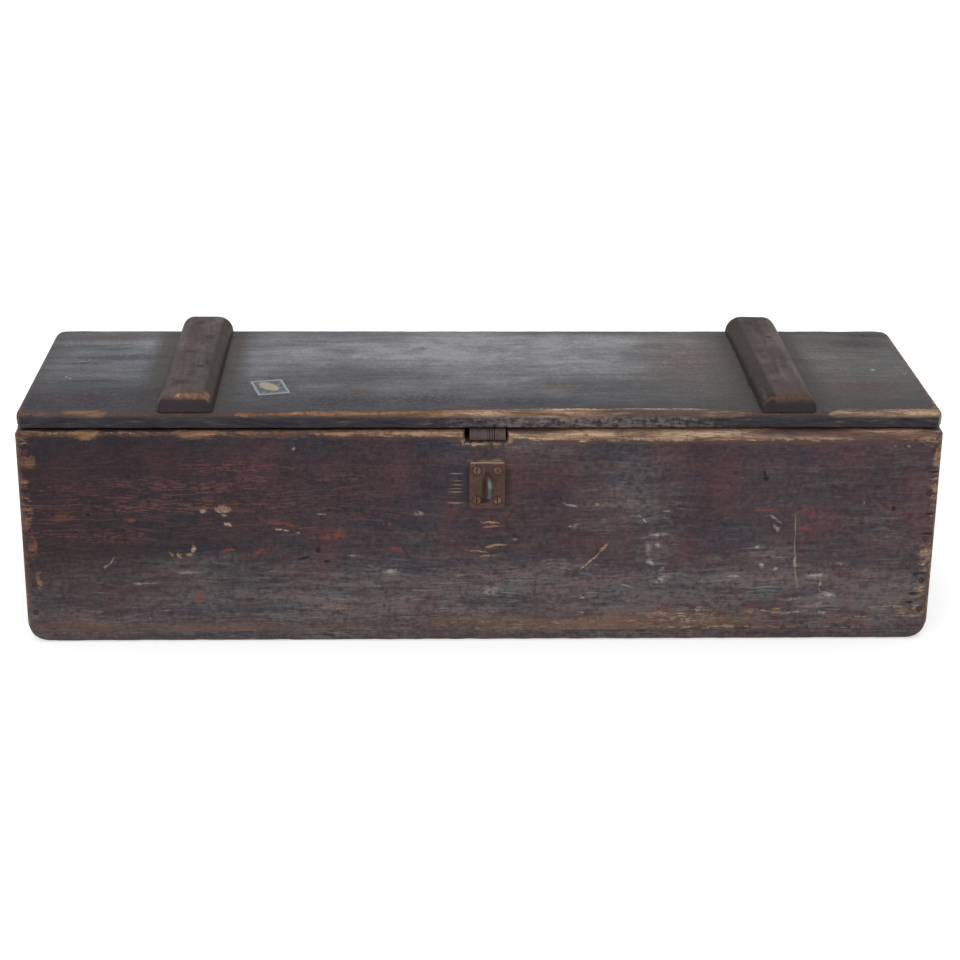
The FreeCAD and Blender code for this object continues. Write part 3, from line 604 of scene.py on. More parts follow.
    def old_paint(self, dust):
        """Brown-black oil paint in soft tones, cool in places, with dust caught by its raised grain."""
        tree, paint = self.tree, colours()
        coat = node(tree, "ValToRGB", {0: self.blotches}, stops=(
            (0.34, paint.coat_black), (0.47, paint.coat_brown), (0.66, paint.coat_plum)))[0]
        coat = laid_over(tree, coat, (self.clouds, 0.47, 0.62, 0.75, paint.coat_blue))
        coat = self.toned(coat, (self.fine, 0.3, 0.7, 0.84, 1.16), (self.flecks, 0.3, 0.7, 0.72, 1.28),
                          (self.specks, 0.3, 0.7, 0.78, 1.22))
        haze = self.varied(dust, (self.streaks, 0.36, 0.64, 0.30, 1.10),
                           (self.flecks, 0.36, 0.64, 0.45, 1.55), (self.patches, 0.36, 0.64, 0.60, 1.45),
                           (self.blotches, 0.36, 0.64, 1.25, 0.75), clamp=True)
        coat = node(tree, "Mix", {0: haze, 6: coat, 7: paint.coat_grey}, data_type="RGBA")[2]
        coat = self.mottled(coat, 1.0)
        scratched = node(tree, "MapRange", {0: self.lines, 1: 0.57, 2: 0.70, 4: 0.6})[0]
        scratched = node(tree, "Math", {0: scratched, 1: dust}, operation="MULTIPLY")[0]
        scratched = self.varied(scratched, (self.dashes, 0.44, 0.58, 0.15, 1.0))
        return node(tree, "Mix", {0: scratched, 6: coat, 7: paint.chalk}, data_type="RGBA")[2]

    def inside_wood(self):
        """Unpainted pine, browned by age and oily tools."""
        brown = node(self.tree, "ValToRGB", {0: self.bands}, stops=(
            (0.32, INSIDE_DARK), (0.50, INSIDE_BROWN), (0.68, INSIDE_LIGHT)))[0]
        return laid_over(self.tree, brown, (self.fine, 0.50, 0.68, 0.55, INSIDE_LINES),
                         (self.blotches, 0.50, 0.72, 0.55, INSIDE_STAIN))

    def worn_thin(self, areas, most):
        """Where the top coat has worn thin along the grain, within areas."""
        lines = node(self.tree, "MapRange", {0: self.lines, 1: 0.54, 2: 0.64, 4: most})[0]
        thin = node(self.tree, "Math", {0: lines, 1: areas}, operation="MULTIPLY")[0]
        return self.varied(thin, (self.streaks, 0.42, 0.56, 0.0, 1.0), clamp=True)

    def finish(self, shader, base, gloss, shine=0.12):
        """Connect a painted surface: its colour, a gloss that wanders, and grain that stands up."""
        tree = self.tree
        tree.links.new(base, shader.inputs["Base Color"])
        shader.inputs["Specular IOR Level"].default_value = shine
        rough = node(tree, "MapRange", {0: self.blotches, 1: 0.3, 2: 0.7, 3: gloss, 4: gloss + 0.2})[0]
        tree.links.new(rough, shader.inputs["Roughness"])
        height = node(tree, "Math", {0: self.fine, 1: 0.6, 2: self.streaks}, operation="MULTIPLY_ADD")[0]
        height = node(tree, "Math", {0: self.flecks, 1: 0.5, 2: height}, operation="MULTIPLY_ADD")[0]
        bump = node(tree, "Bump", {"Strength": 0.8, "Distance": 0.5 * MM, "Height": height})[0]
        tree.links.new(bump, shader.inputs["Normal"])


# The room between the walls, above the bottom board
ROOM_LOW = Vector((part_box("left_end_board")[1].x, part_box("front_board")[1].y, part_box("bottom_board")[1].z))
ROOM_HIGH = Vector((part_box("right_end_board")[0].x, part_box("back_board")[0].y, 1.0))
BOX_LOW = Vector((*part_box("front_board")[0].xy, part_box("bottom_board")[0].z))
BOX_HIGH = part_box("back_board")[1]
FRONT_FACE = BOX_LOW.y / MM
LID_LOW, LID_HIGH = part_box("lid_board")
LID_FACE = LID_HIGH.z / MM
# A mark's oval fades out, so it is drawn this much larger than its place in the tables, and this deep
MARK_SPREAD = 1.3
MARK_DEPTH = 12.0
# Width of the stained wood along a worn arris, in millimetres
BORDER_WIDTH = 3.5
# How far under a board its block of arrises reaches, so that only the upper ones count as worn
BLOCK_DROP = 0.5
BATTEN_BLOCK_DROP = 0.1


def show_room(surface, base):
    """Bare wood in place of the paint on the faces inside the box and under it."""
    tree = surface.tree
    middle = (ROOM_LOW + ROOM_HIGH) / 2 / MM
    half = (ROOM_HIGH - ROOM_LOW) / 2 / MM + Vector((1, 1, 1))
    offset = node(tree, "VectorMath", {0: surface.place, 1: middle}, operation="SUBTRACT")[0]
    size = node(tree, "VectorMath", {0: offset}, operation="ABSOLUTE")[0]
    gaps = node(tree, "VectorMath", {0: half, 1: size}, operation="SUBTRACT")[0]
    axes = node(tree, "SeparateXYZ", {0: gaps})
    least = node(tree, "Math", {0: axes[0], 1: axes[1]}, operation="MINIMUM")[0]
    least = node(tree, "Math", {0: least, 1: axes[2]}, operation="MINIMUM")[0]
    below = node(tree, "Math", {0: 0.8, 1: surface.z}, operation="SUBTRACT")[0]
    most = node(tree, "Math", {0: least, 1: below}, operation="MAXIMUM")[0]
    inside = node(tree, "Math", {0: most, 1: 0.0}, operation="GREATER_THAN")[0]
    return node(tree, "Mix", {0: inside, 6: base, 7: surface.inside_wood()}, data_type="RGBA")[2]


# Marks on the front: x, z, half length, half height in millimetres, and a turn in degrees for some

PALE_MARKS = (
    (181, 119, 9, 2.0, 4), (172, 99, 3.0, 10, 8), (174, 88, 6, 2.5, -30), (187, 68.5, 8, 4.5, 20),
    (150, 62, 7, 1.4, -14), (346, 73, 11, 4), (352, 62, 1.6, 9), (358, 50, 10, 4.5),
    (325, 46, 10, 1.6, 8), (326, 31, 14, 1.0, 5), (355, 31, 5, 2.0), (11, 57, 8, 5, 10),
    (-91, 78.5, 11, 3, 5), (-63, 143, 5, 2.6), (-27, 112, 2, 1.2), (35, 114, 2.4, 1.6),
    (283, 104, 5, 1.5, 5), (289, 84, 2.5, 3.5, 30), (305, 80, 3.5, 2, 30), (302, 126, 3, 5, 25),
    (-282, 146, 4, 2.5), (-261, 141, 3, 1.5), (-186, 122, 2.5, 2), (-189, 212, 2.5, 2),
    (-162, 142, 5, 1.3, -6), (419, 215, 1.5, 1.2), (432, 215, 2, 1.4), (391, 153, 1.2, 1.2),
    (463, 179, 7, 0.8), (189, 145, 5, 1.2), (104, 32, 5, 1.0), (-382, 85, 4, 1.6, 30),
    (-376, 91, 5, 0.7, 60), (-340, 24, 1.2, 6, 8), (12, 33, 6, 1.0), (182, 106, 4, 4),
    (186, 80, 3, 2.4), (165, 136, 9, 1.2, -50), (300, 136, 9, 1.4, -38), (352, 42, 3, 6),
    (-300, 78, 14, 1.6), (-345, 66, 12, 1.6), (-130, 96, 8, 1.2), (90, 152, 8, 1.6, -20),
    (95, 128, 6, 2.4, 10), (262, 72, 8, 1.6), (370, 86, 5, 2.0), (-20, 74, 8, 2.4),
)

CREAM_MARKS = (
    (-262, 148, 8, 4.5), (-257, 131, 4, 2.0, -20), (-315, 98, 3, 2.5), (-308, 97, 3.5, 3),
    (-298, 98, 4, 2.5), (-293, 104, 2.4, 4), (-203, 125, 8, 1.4, -9), (126, 104, 2.4, 6, -42),
    (114, 91, 1.0, 15, -47), (323.6, 88, 1.8, 6), (10, 128, 9, 1.0, 3), (9, 132.5, 10, 1.2, -3),
    (14, 107, 11, 1.4, 7), (-4, 101, 13, 0.9, -8), (8, 96, 9, 0.8, 6), (104, 49, 3, 3),
    (118, 152, 2, 1.4), (-4, 217.6, 14, 1.7, 1), (14, 217.6, 12, 1.7, -1), (-18.6, 220.6, 1.8, 4, -30),
    (27, 222, 2.2, 4.5, 10),
)

# Straight pale scratches, beside the staple plate and on the right

SCRATCHES = (
    (-26, 185.8, 8.2, 0.9), (-24.5, 173.6, 6.4, 0.8), (-26, 165.8, 8.2, 0.9), (-26.5, 154, 9, 1.2),
    (-26, 169.6, 8, 0.5), (-25, 178, 6, 0.5), (321.9, 128, 0.8, 15, 3), (322.6, 103, 1.0, 13, 3),
    (323.8, 88, 1.6, 8, 5), (326, 70, 1.3, 14, 11),
)

# Orange wood laid bare along the corners and the lower edge

EDGE_MARKS = (
    (-457, 199, 11, 7), (-462, 178, 5, 3), (-459, 145, 6, 26), (-455, 106, 7, 13), (-452, 70, 4, 12),
    (-436, 17, 26, 3.0, 1), (-380, 14, 60, 2.0), (-260, 14, 90, 2.0), (-110, 14, 90, 2.0),
    (60, 14, 80, 2.4), (250, 15, 120, 2.4), (400, 14, 60, 2.4), (-147, 38, 14, 5), (-30, 22, 40, 5),
    (80, 20, 60, 6), (150, 22, 60, 7, 1), (205, 27, 60, 7, 2), (223, 34, 20, 5, 2), (235, 22, 40, 4),
    (425, 38, 26, 5, 3), (400, 24, 50, 4), (445, 30, 20, 12), (456, 222, 16, 8), (-460, 222, 10, 6),
    (300, 33, 40, 3.4), (464, 196, 6, 26), (463, 150, 5, 24), (459, 92, 9, 18), (455, 55, 7, 14),
    (190, 8, 55, 3.5), (50, 6, 50, 2.5),
)

# Pine along the notch, the staple plate and the left half of the top arris

SEAM_MARKS = (
    (4, 217.6, 23, 2.4), (-20, 221, 3, 4), (28, 221, 3, 4), (5, 199.5, 20, 1.2), (-398, 225, 8, 4),
    (-291, 226, 12, 2.6), (-455, 199, 10, 7), (-460, 178, 5, 3), (-460, 132, 4, 8), (-456, 108, 5, 12),
    (-452, 72, 3.5, 9), (450, 225, 20, 6), (463, 203, 5, 15), (462, 168, 4, 12), (459, 96, 6, 14),
    (457, 60, 4, 10),
)

# Red oxide that shows in chips along the grain, and in single strokes

RED_MARKS = (
    (-440, 140, 30, 5), (-205, 131, 36, 6, -11), (-308, 131, 26, 5), (-160, 124, 24, 12),
    (-145, 181, 34, 6), (-232, 181, 22, 6), (-320, 173, 110, 9, -3), (-400, 168, 60, 9, -2),
    (-250, 168, 30, 6), (-430, 148, 40, 7), (-108, 143, 40, 7), (-320, 152, 110, 12),
    (-170, 158, 70, 16), (-380, 120, 60, 9), (-250, 192, 60, 8), (-60, 118, 30, 6), (-180, 78, 40, 8),
    (-360, 62, 40, 7), (415, 146, 26, 5), (20, 128, 26, 7), (300, 40, 50, 8), (390, 26, 44, 12),
)

RED_STROKES = (
    (290, 145.5, 12, 1.8, 1), (330, 144.8, 9, 2.2, 2), (342, 140, 6, 3.6, -40), (331, 125, 9, 3.0, -4),
    (-257, 103, 8, 2.6, 5), (-222, 101, 18, 3.0, 20), (-150, 118, 14, 4.5, 5), (-88, 104, 9, 3.2),
    (-34, 72, 5, 3.2), (26, 143, 3, 2), (-290, 50, 5, 10), (-355, 136, 7, 2.6), (-96, 131, 5, 2.6),
    (-200, 131, 26, 2.0, -11), (-425, 140, 16, 2.4),
)

# Knots, nail stains and dark chips

DARK_MARKS = (
    (288.9, 180, 3.4, 3.4), (287.4, 185, 1.6, 4.2, 14), (-166.5, 102.6, 3.2, 3.2), (-180, 94, 7, 2, 20),
    (-158, 90, 4, 1.5), (421.7, 146.4, 3, 3), (-398, 142, 2.2, 2.2), (450, 74, 4, 2), (449, 52, 5, 2.4),
    (446, 42, 5, 2), (461, 187, 7, 1.4), (460, 163, 7, 1.2), (459, 141, 6, 1.4), (459, 119, 7, 1.4),
    (456, 75, 6, 1.4), (-459, 167, 6, 1.4),
)

# Soft areas of the front where the coat is rubbed grey and dusty

DUSTY_AREAS = (
    (-250, 60, 120, 26, 2), (-285, 82, 60, 18), (-165, 52, 120, 32), (-70, 55, 130, 34),
    (90, 70, 150, 26), (210, 60, 130, 30), (40, 212, 80, 18), (150, 165, 60, 60), (385, 44, 80, 30),
    (178, 98, 26, 32), (345, 50, 28, 24), (292, 96, 22, 20), (10, 57, 18, 12), (180, 40, 60, 14),
)

# Painted shadow round the staple plate

PLATE_SHADOW_OVALS = (
    (5.6, 147, 24, 4), (-14.5, 173, 3, 30), (26.5, 173, 4, 30), (4, 209, 26, 7),
)

# Where the wood's tan shows through low in the middle, and where red lines show

TAN_AREAS = (
    (60, 14, 110, 14), (130, 17, 150, 20), (230, 16, 70, 12), (-420, 14, 60, 9), (-260, 13, 120, 8),
)

RED_AREAS = (
    (-290, 160, 190, 45), (-130, 150, 90, 50), (-430, 140, 60, 60), (452, 140, 30, 50),
    (20, 120, 60, 40), (390, 26, 40, 14), (60, 196, 40, 20),
)


# How dusty the front is by height, how strong its upper part's shades are, and how they change along it

FRONT_DUST = ((0, 0.55), (30, 0.80), (75, 0.65), (105, 0.30), (170, 0.12), (231, 0.06))
FRONT_UPPER = ((40, 0.15), (66, 0.6), (100, 1.0), (231, 0.9))
FRONT_FADED = ((-467, 0.0), (230, 0.0), (290, 0.25), (467, 0.25))
FRONT_DARK = ((-467, 0.60), (-390, 0.52), (-300, 0.44), (-200, 0.18), (-90, 0.10), (0, 0.0))

# How far the front's top arris is worn, as a share of the most in millimetres, and how pale its pine is

FRONT_WORN_MOST = 8.5
FRONT_WORN = (
    (-467, 0.22), (-446, 0.30), (-408, 0.28), (-400, 0.70), (-388, 0.70), (-380, 0.18), (-310, 0.15),
    (-300, 0.60), (-272, 0.60), (-262, 0.22), (-225, 0.34), (-150, 0.42), (-100, 0.55), (-30, 0.66),
    (25, 0.95), (60, 1.15), (350, 1.10), (440, 1.05), (456, 0.22), (467, 0.22),
)
FRONT_PALE = ((-467, 0.05), (-60, 0.30), (20, 0.9), (350, 1.0), (467, 0.8))


def front_paint():
    """Old oil paint on the front board: brown-black over red oxide, rubbed, chipped and splashed."""
    material, tree, shader = new_material("worn_oil_paint_front")
    low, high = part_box("front_board")
    # The block reaches far down, so that only the top and end arrises count as worn
    surface = Surface(tree, Vector((low.x, low.y, -BLOCK_DROP)), high, 0, 11.0)
    soft = surface.ragged(5.0, 9.0, 16.0)

    def shown(spots, place=soft):
        return surface.marks(place, spots, FRONT_FACE)

    areas = shown(DUSTY_AREAS, surface.place)
    lower = surface.along(surface.z, FRONT_DUST)
    dust = node(tree, "Math", {0: areas, 1: 0.9, 2: lower}, operation="MULTIPLY_ADD")[0]
    upper = surface.along(surface.z, FRONT_UPPER)
    faded = surface.along(surface.x, FRONT_FADED)
    dust = node(tree, "Math", {0: faded, 1: upper, 2: dust}, operation="MULTIPLY_ADD")[0]
    dust = node(tree, "Math", {0: dust, 1: 0.7}, operation="MULTIPLY")[0]
    coat = surface.old_paint(dust)

    # The upper left is darker, and the wood's tan shows through low in the middle
    dark = surface.along(surface.x, FRONT_DARK)
    dark = node(tree, "Math", {0: dark, 1: upper}, operation="MULTIPLY")[0]
    tan = node(tree, "MapRange", {0: surface.patches, 1: 0.36, 2: 0.60, 3: 0.25, 4: 1.0})[0]
    tan = node(tree, "Math", {0: tan, 1: shown(TAN_AREAS, surface.place)}, operation="MULTIPLY")[0]
    tan = node(tree, "Math", {0: tan, 1: 0.65}, operation="MULTIPLY")[0]

    # Red oxide where the top coat has worn thin along the grain, and in chips
    thin = surface.worn_thin(shown(RED_AREAS, surface.place), 0.9)
    chips = surface.dashed(shown(RED_MARKS), 0.45)
    orange = node(tree, "ValToRGB", {0: surface.patches}, stops=(
        (0.44, CHIP_BROWN), (0.54, CHIP_RED), (0.64, CHIP_ORANGE)))[0]
    strokes = surface.chipped(shown(RED_STROKES), 0.10, 1.1, 0.72)
    for shade, tone in ((dark, SMOKED_COAT), (tan, TAN_WOOD), (thin, THIN_RED), (chips, orange),
                        (strokes, RED_OXIDE)):
        coat = node(tree, "Mix", {0: shade, 6: coat, 7: tone}, data_type="RGBA")[2]
    # Painted shadow round the staple plate on the front board
    coat = laid_over(tree, coat, (shown(PLATE_SHADOW_OVALS), 0.05, 0.8, 0.55, PLATE_SHADE))

    # The top arris is worn further towards the right, where its pine is paler too
    reach = surface.along(surface.x, FRONT_WORN)
    reach = node(tree, "Math", {0: reach, 1: FRONT_WORN_MOST}, operation="MULTIPLY")[0]
    cream = surface.chipped(shown(CREAM_MARKS), 0.15, 0.45, 0.9)
    edges = surface.dashed(shown(EDGE_MARKS), 0.8)
    seams = surface.chipped(shown(SEAM_MARKS), 0.15, 0.75, 0.75)
    chips = node(tree, "Math", {0: cream, 1: edges}, operation="MAXIMUM")[0]
    chips = node(tree, "Math", {0: chips, 1: seams}, operation="MAXIMUM")[0]
    pale = surface.along(surface.x, FRONT_PALE)
    pale = node(tree, "Math", {0: pale, 1: cream}, operation="MAXIMUM")[0]
    base = surface.lay_bare(coat, reach, 12.0, pale, chips)
    base = laid_over(tree, base, (shown(SCRATCHES, surface.place), 0.1, 0.7, 0.62, SCRATCHED_WOOD))

    # Pale splashes, dark knots and nail stains
    splash = surface.chipped(shown(PALE_MARKS), 0.08, 1.15, 0.85)
    splash = surface.varied(splash, (surface.dashes, 0.42, 0.56, 0.35, 1.0))
    base = node(tree, "Mix", {0: splash, 6: base, 7: colours().chalk}, data_type="RGBA")[2]
    base = laid_over(tree, base, (shown(DARK_MARKS, surface.place), 0.1, 0.6, 0.85, KNOT_BLACK))
    surface.finish(shader, show_room(surface, base), 0.45)
    return material


# How dusty the other boards are by height, and how far their arrises are worn

SIDE_DUST = ((0, 0.50), (60, 0.60), (120, 0.25), (231, 0.10))
SIDE_WORN_MOST = 4.0
SIDE_WORN = ((0, 0.0), (25, 0.1), (40, 1.0), (240, 1.0))


def side_paint(name, along, seed):
    """The same old paint on the boards that the front doesn't show, with no marks of its own."""
    material, tree, shader = new_material(name)
    surface = Surface(tree, BOX_LOW, BOX_HIGH, along, seed)
    coat = surface.old_paint(surface.along(surface.z, SIDE_DUST))
    areas = node(tree, "MapRange", {0: surface.clouds, 1: 0.52, 2: 0.38, 4: 0.9})[0]
    red = surface.worn_thin(areas, 1.0)
    coat = node(tree, "Mix", {0: red, 6: coat, 7: THIN_RED_SIDES}, data_type="RGBA")[2]
    reach = surface.along(surface.z, SIDE_WORN)
    reach = node(tree, "Math", {0: reach, 1: SIDE_WORN_MOST}, operation="MULTIPLY")[0]
    base = surface.lay_bare(coat, reach, 12.0, 0.35)
    surface.finish(shader, show_room(surface, base), 0.45)
    return material


# Marks on the lid's top: x, y, half length, half depth in millimetres, and a turn in degrees for some

LID_STAINS = (
    (-126, -76, 22, 16), (-60, 70, 9, 8), (-30, -95, 9, 8), (216, 30, 55, 75), (-413, -95, 45, 18),
    (400, -60, 40, 30), (83, -54, 40, 18), (-402, 112, 60, 14, 4),
)

LID_MOTTLES = (
    (-140, -104, 70, 24), (-60, -100, 60, 22), (40, -108, 70, 18), (-215, -60, 30, 40),
    (-380, 40, 60, 16, 3), (420, 90, 40, 20), (-430, -112, 60, 26), (-400, -105, 90, 34),
    (-350, -85, 50, 30),
)

# Soft areas that are rubbed less and get less of the painted sheen

LID_SHADES = (
    (-130, -25, 90, 45), (160, -55, 90, 40), (425, 100, 60, 60), (375, 138, 60, 16),
    (160, 140, 120, 18), (-395, -75, 90, 45),
)

LID_CRACKS = (
    (-405, 83, 52, 2.0, 10), (-390, 70, 30, 2.4, 5), (-180, 100, 60, 1.2, -2), (120, -20, 90, 1.0, 1),
    (400, 60, 50, 1.2, -3), (-420, 20, 30, 5, 2), (-400, -40, 40, 4), (440, 120, 30, 8),
)

LID_SPECKS = (
    (-431, -27, 1.8, 2.5), (-426, -30, 1.6, 2.2), (420, -3, 2.5, 3), (452, -15, 2, 2.5),
)

# Along the lid: where brown dirt lies, with a painted shade beside the battens, and how pale the paint is
# from rubbing and a painted sheen, which is most where hands and goods slide and least beside the battens,
# where it is a painted shade, and towards the front

LID_DIRT_AND_SHADE = (
    (-465, 0.0), (-350, 0.05), (-337, 0.75), (-258, 0.75), (-245, 0.05), (150, 0.15), (215, 0.5),
    (270, 0.8), (350, 0.8), (465, 0.5),
)
LID_RUB_AND_SHEEN_ALONG = (
    (-465, 0.20), (-440, 0.40), (-400, 0.54), (-356, 0.64), (-340, 0.10), (-257, 0.10), (-238, 0.62),
    (-150, 0.78), (-80, 0.95), (0, 1.0), (90, 0.98), (180, 0.80), (235, 0.55), (272, 0.08),
    (348, 0.08), (364, 0.38), (465, 0.42),
)
LID_RUB_AND_SHEEN_BACK = (
    (-142, 0.0), (-110, 0.14), (-89, 0.32), (-57, 0.58), (-24, 0.68), (10, 0.86), (50, 1.0),
    (100, 0.92), (135, 0.70),
)

# How far the lid's front arris is worn, as a share of the most in millimetres, how pale its pine is,
# and where its upright edge is scuffed

LID_WORN_MOST = 9.5
LID_WORN = (
    (-465, 0.28), (-420, 0.34), (-412, 0.85), (-385, 0.85), (-374, 0.15), (-262, 0.02), (-240, 0.45),
    (-60, 0.60), (0, 1.0), (80, 1.35), (210, 1.35), (250, 0.6), (272, 0.0), (346, 0.0), (362, 1.0),
    (465, 1.2),
)
LID_NEAR_FRONT = ((-142, 1.0), (-128, 1.0), (-118, 0.25), (142, 0.25))
LID_PALE_MOST = 1.9
LID_PALE = ((-465, 0.0), (-395, 0.3), (-370, 0.06), (-60, 0.08), (-10, 0.5), (60, 1.0), (465, 1.0))
LID_SCUFFS = ((-60, 0.0), (10, 0.8), (110, 1.0), (200, 0.9), (260, 0.1), (465, 0.0))


def lid_paint():
    """Charcoal oil paint on the plank, rubbed to a pale bloom with a painted sheen, darker beside the battens as
    painted shade, and worn to pine along the front.
    """
    material, tree, shader = new_material("rubbed_and_sheen_oil_paint_lid")
    paint = colours()
    # The block reaches far down, so that only the upper arrises count as worn
    surface = Surface(tree, LID_LOW - Vector((0, 0, BLOCK_DROP)), LID_HIGH, 0, 71.0)

    def shown(spots, place):
        return surface.marks(place, spots, LID_FACE, False)

    slate = node(tree, "ValToRGB", {0: surface.streaks}, stops=(
        (0.30, paint.lid_dark), (0.66, paint.lid_slate)))[0]
    # Brown dirt, and a painted shade on the lid beside the battens
    brown = surface.along(surface.x, LID_DIRT_AND_SHADE)
    slate = node(tree, "Mix", {0: brown, 6: slate, 7: paint.lid_dirt_and_shade}, data_type="RGBA")[2]

    # How pale the lid is: rubbed paint with a painted sheen, less beside the battens as a painted shade
    across = surface.along(surface.x, LID_RUB_AND_SHEEN_ALONG)
    back = surface.along(surface.y, LID_RUB_AND_SHEEN_BACK)
    rub_and_sheen = node(tree, "Math", {0: across, 1: back}, operation="MULTIPLY")[0]
    rub_and_sheen = surface.varied(rub_and_sheen, (surface.blotches, 0.34, 0.66, 0.50, 1.28),
                         (surface.patches, 0.34, 0.66, 0.65, 1.25), (surface.streaks, 0.34, 0.66, 0.88, 1.08),
                         (surface.flecks, 0.34, 0.66, 0.88, 1.12))
    rub_and_sheen = node(tree, "Math", {0: rub_and_sheen, 1: 1.0}, operation="MINIMUM")[0]
    rub_and_sheen = surface.varied(rub_and_sheen, (shown(LID_SHADES, surface.place), 0.0, 0.8, 1.0, 0.35))
    rubbed = node(tree, "Mix", {0: brown, 6: paint.lid_rubbed_and_sheen, 7: WARM_RUB_AND_SHEEN}, data_type="RGBA")[2]
    base = node(tree, "Mix", {0: rub_and_sheen, 6: slate, 7: rubbed}, data_type="RGBA")[2]
    base = surface.toned(base, (surface.fine, 0.3, 0.7, 0.92, 1.08), (surface.specks, 0.3, 0.7, 0.78, 1.22))
    base = surface.mottled(base, 0.4)

    soft = surface.ragged(5.0, 9.0, 72.0)
    fine = surface.ragged(3.0, 14.0, 73.0)
    for spots, place, low, high, most, tone in (
        (LID_STAINS, soft, 0.1, 1.0, 0.6, LID_STAIN),
        (LID_MOTTLES, soft, 0.25, 0.9, 0.7, LID_MOTTLE),
        (LID_CRACKS, fine, 0.1, 1.1, 0.75, CRACK_DARK),
        (LID_SPECKS, soft, 0.1, 0.8, 0.55, SPECK_PALE),
    ):
        shade = surface.chipped(shown(spots, place), low, high, most)
        base = node(tree, "Mix", {0: shade, 6: base, 7: tone}, data_type="RGBA")[2]

    worn = surface.along(surface.x, LID_WORN)
    near_front = surface.along(surface.y, LID_NEAR_FRONT)
    reach = node(tree, "Math", {0: worn, 1: near_front}, operation="MULTIPLY")[0]
    reach = node(tree, "Math", {0: reach, 1: LID_WORN_MOST}, operation="MULTIPLY")[0]
    pale = surface.along(surface.x, LID_PALE)
    pale = node(tree, "Math", {0: pale, 1: LID_PALE_MOST}, operation="MULTIPLY")[0]
    base = surface.lay_bare(base, reach, 15.0, pale)

    # The upright front edge kept its blue-black paint
    edge = node(tree, "Math", {0: surface.y, 1: LID_LOW.y / MM + 2.5}, operation="LESS_THAN")[0]
    lower = surface.along(surface.z, (
        (LID_LOW.z / MM, 1.0), (LID_HIGH.z / MM - 6, 1.0), (LID_HIGH.z / MM - 2, 0.0)))
    edge = node(tree, "Math", {0: edge, 1: lower}, operation="MULTIPLY")[0]
    dark = node(tree, "ValToRGB", {0: surface.streaks}, stops=(
        (0.35, EDGE_BLACK), (0.60, EDGE_BLUE), (0.72, EDGE_WOOD)))[0]
    scuffs = surface.along(surface.x, LID_SCUFFS)
    chips = surface.chipped(scuffs, 0.3, 1.6, 0.45)
    scuffs = surface.dashed(scuffs, 0.5)
    scuffs = node(tree, "Math", {0: scuffs, 1: 0.55, 2: chips}, operation="MULTIPLY_ADD")[0]
    dark = node(tree, "Mix", {0: scuffs, 6: dark, 7: SCUFF_GREY}, data_type="RGBA")[2]
    base = node(tree, "Mix", {0: edge, 6: base, 7: dark}, data_type="RGBA")[2]
    under = node(tree, "Math", {0: surface.z, 1: LID_LOW.z / MM + 0.8}, operation="LESS_THAN")[0]
    base = node(tree, "Mix", {0: under, 6: base, 7: surface.inside_wood()}, data_type="RGBA")[2]
    surface.finish(shader, base, 0.48, 0.06)
    return material


# How far the wear of a batten's front end reaches at most, in millimetres, and where along the batten

BATTEN_WORN_MOST = 10.0
BATTEN_NEAR_FRONT = ((-142, 1.0), (-122, 1.0), (-112, 0.08), (142, 0.08))
NAIL_STAIN_SIZE = (4.2, 5.0)


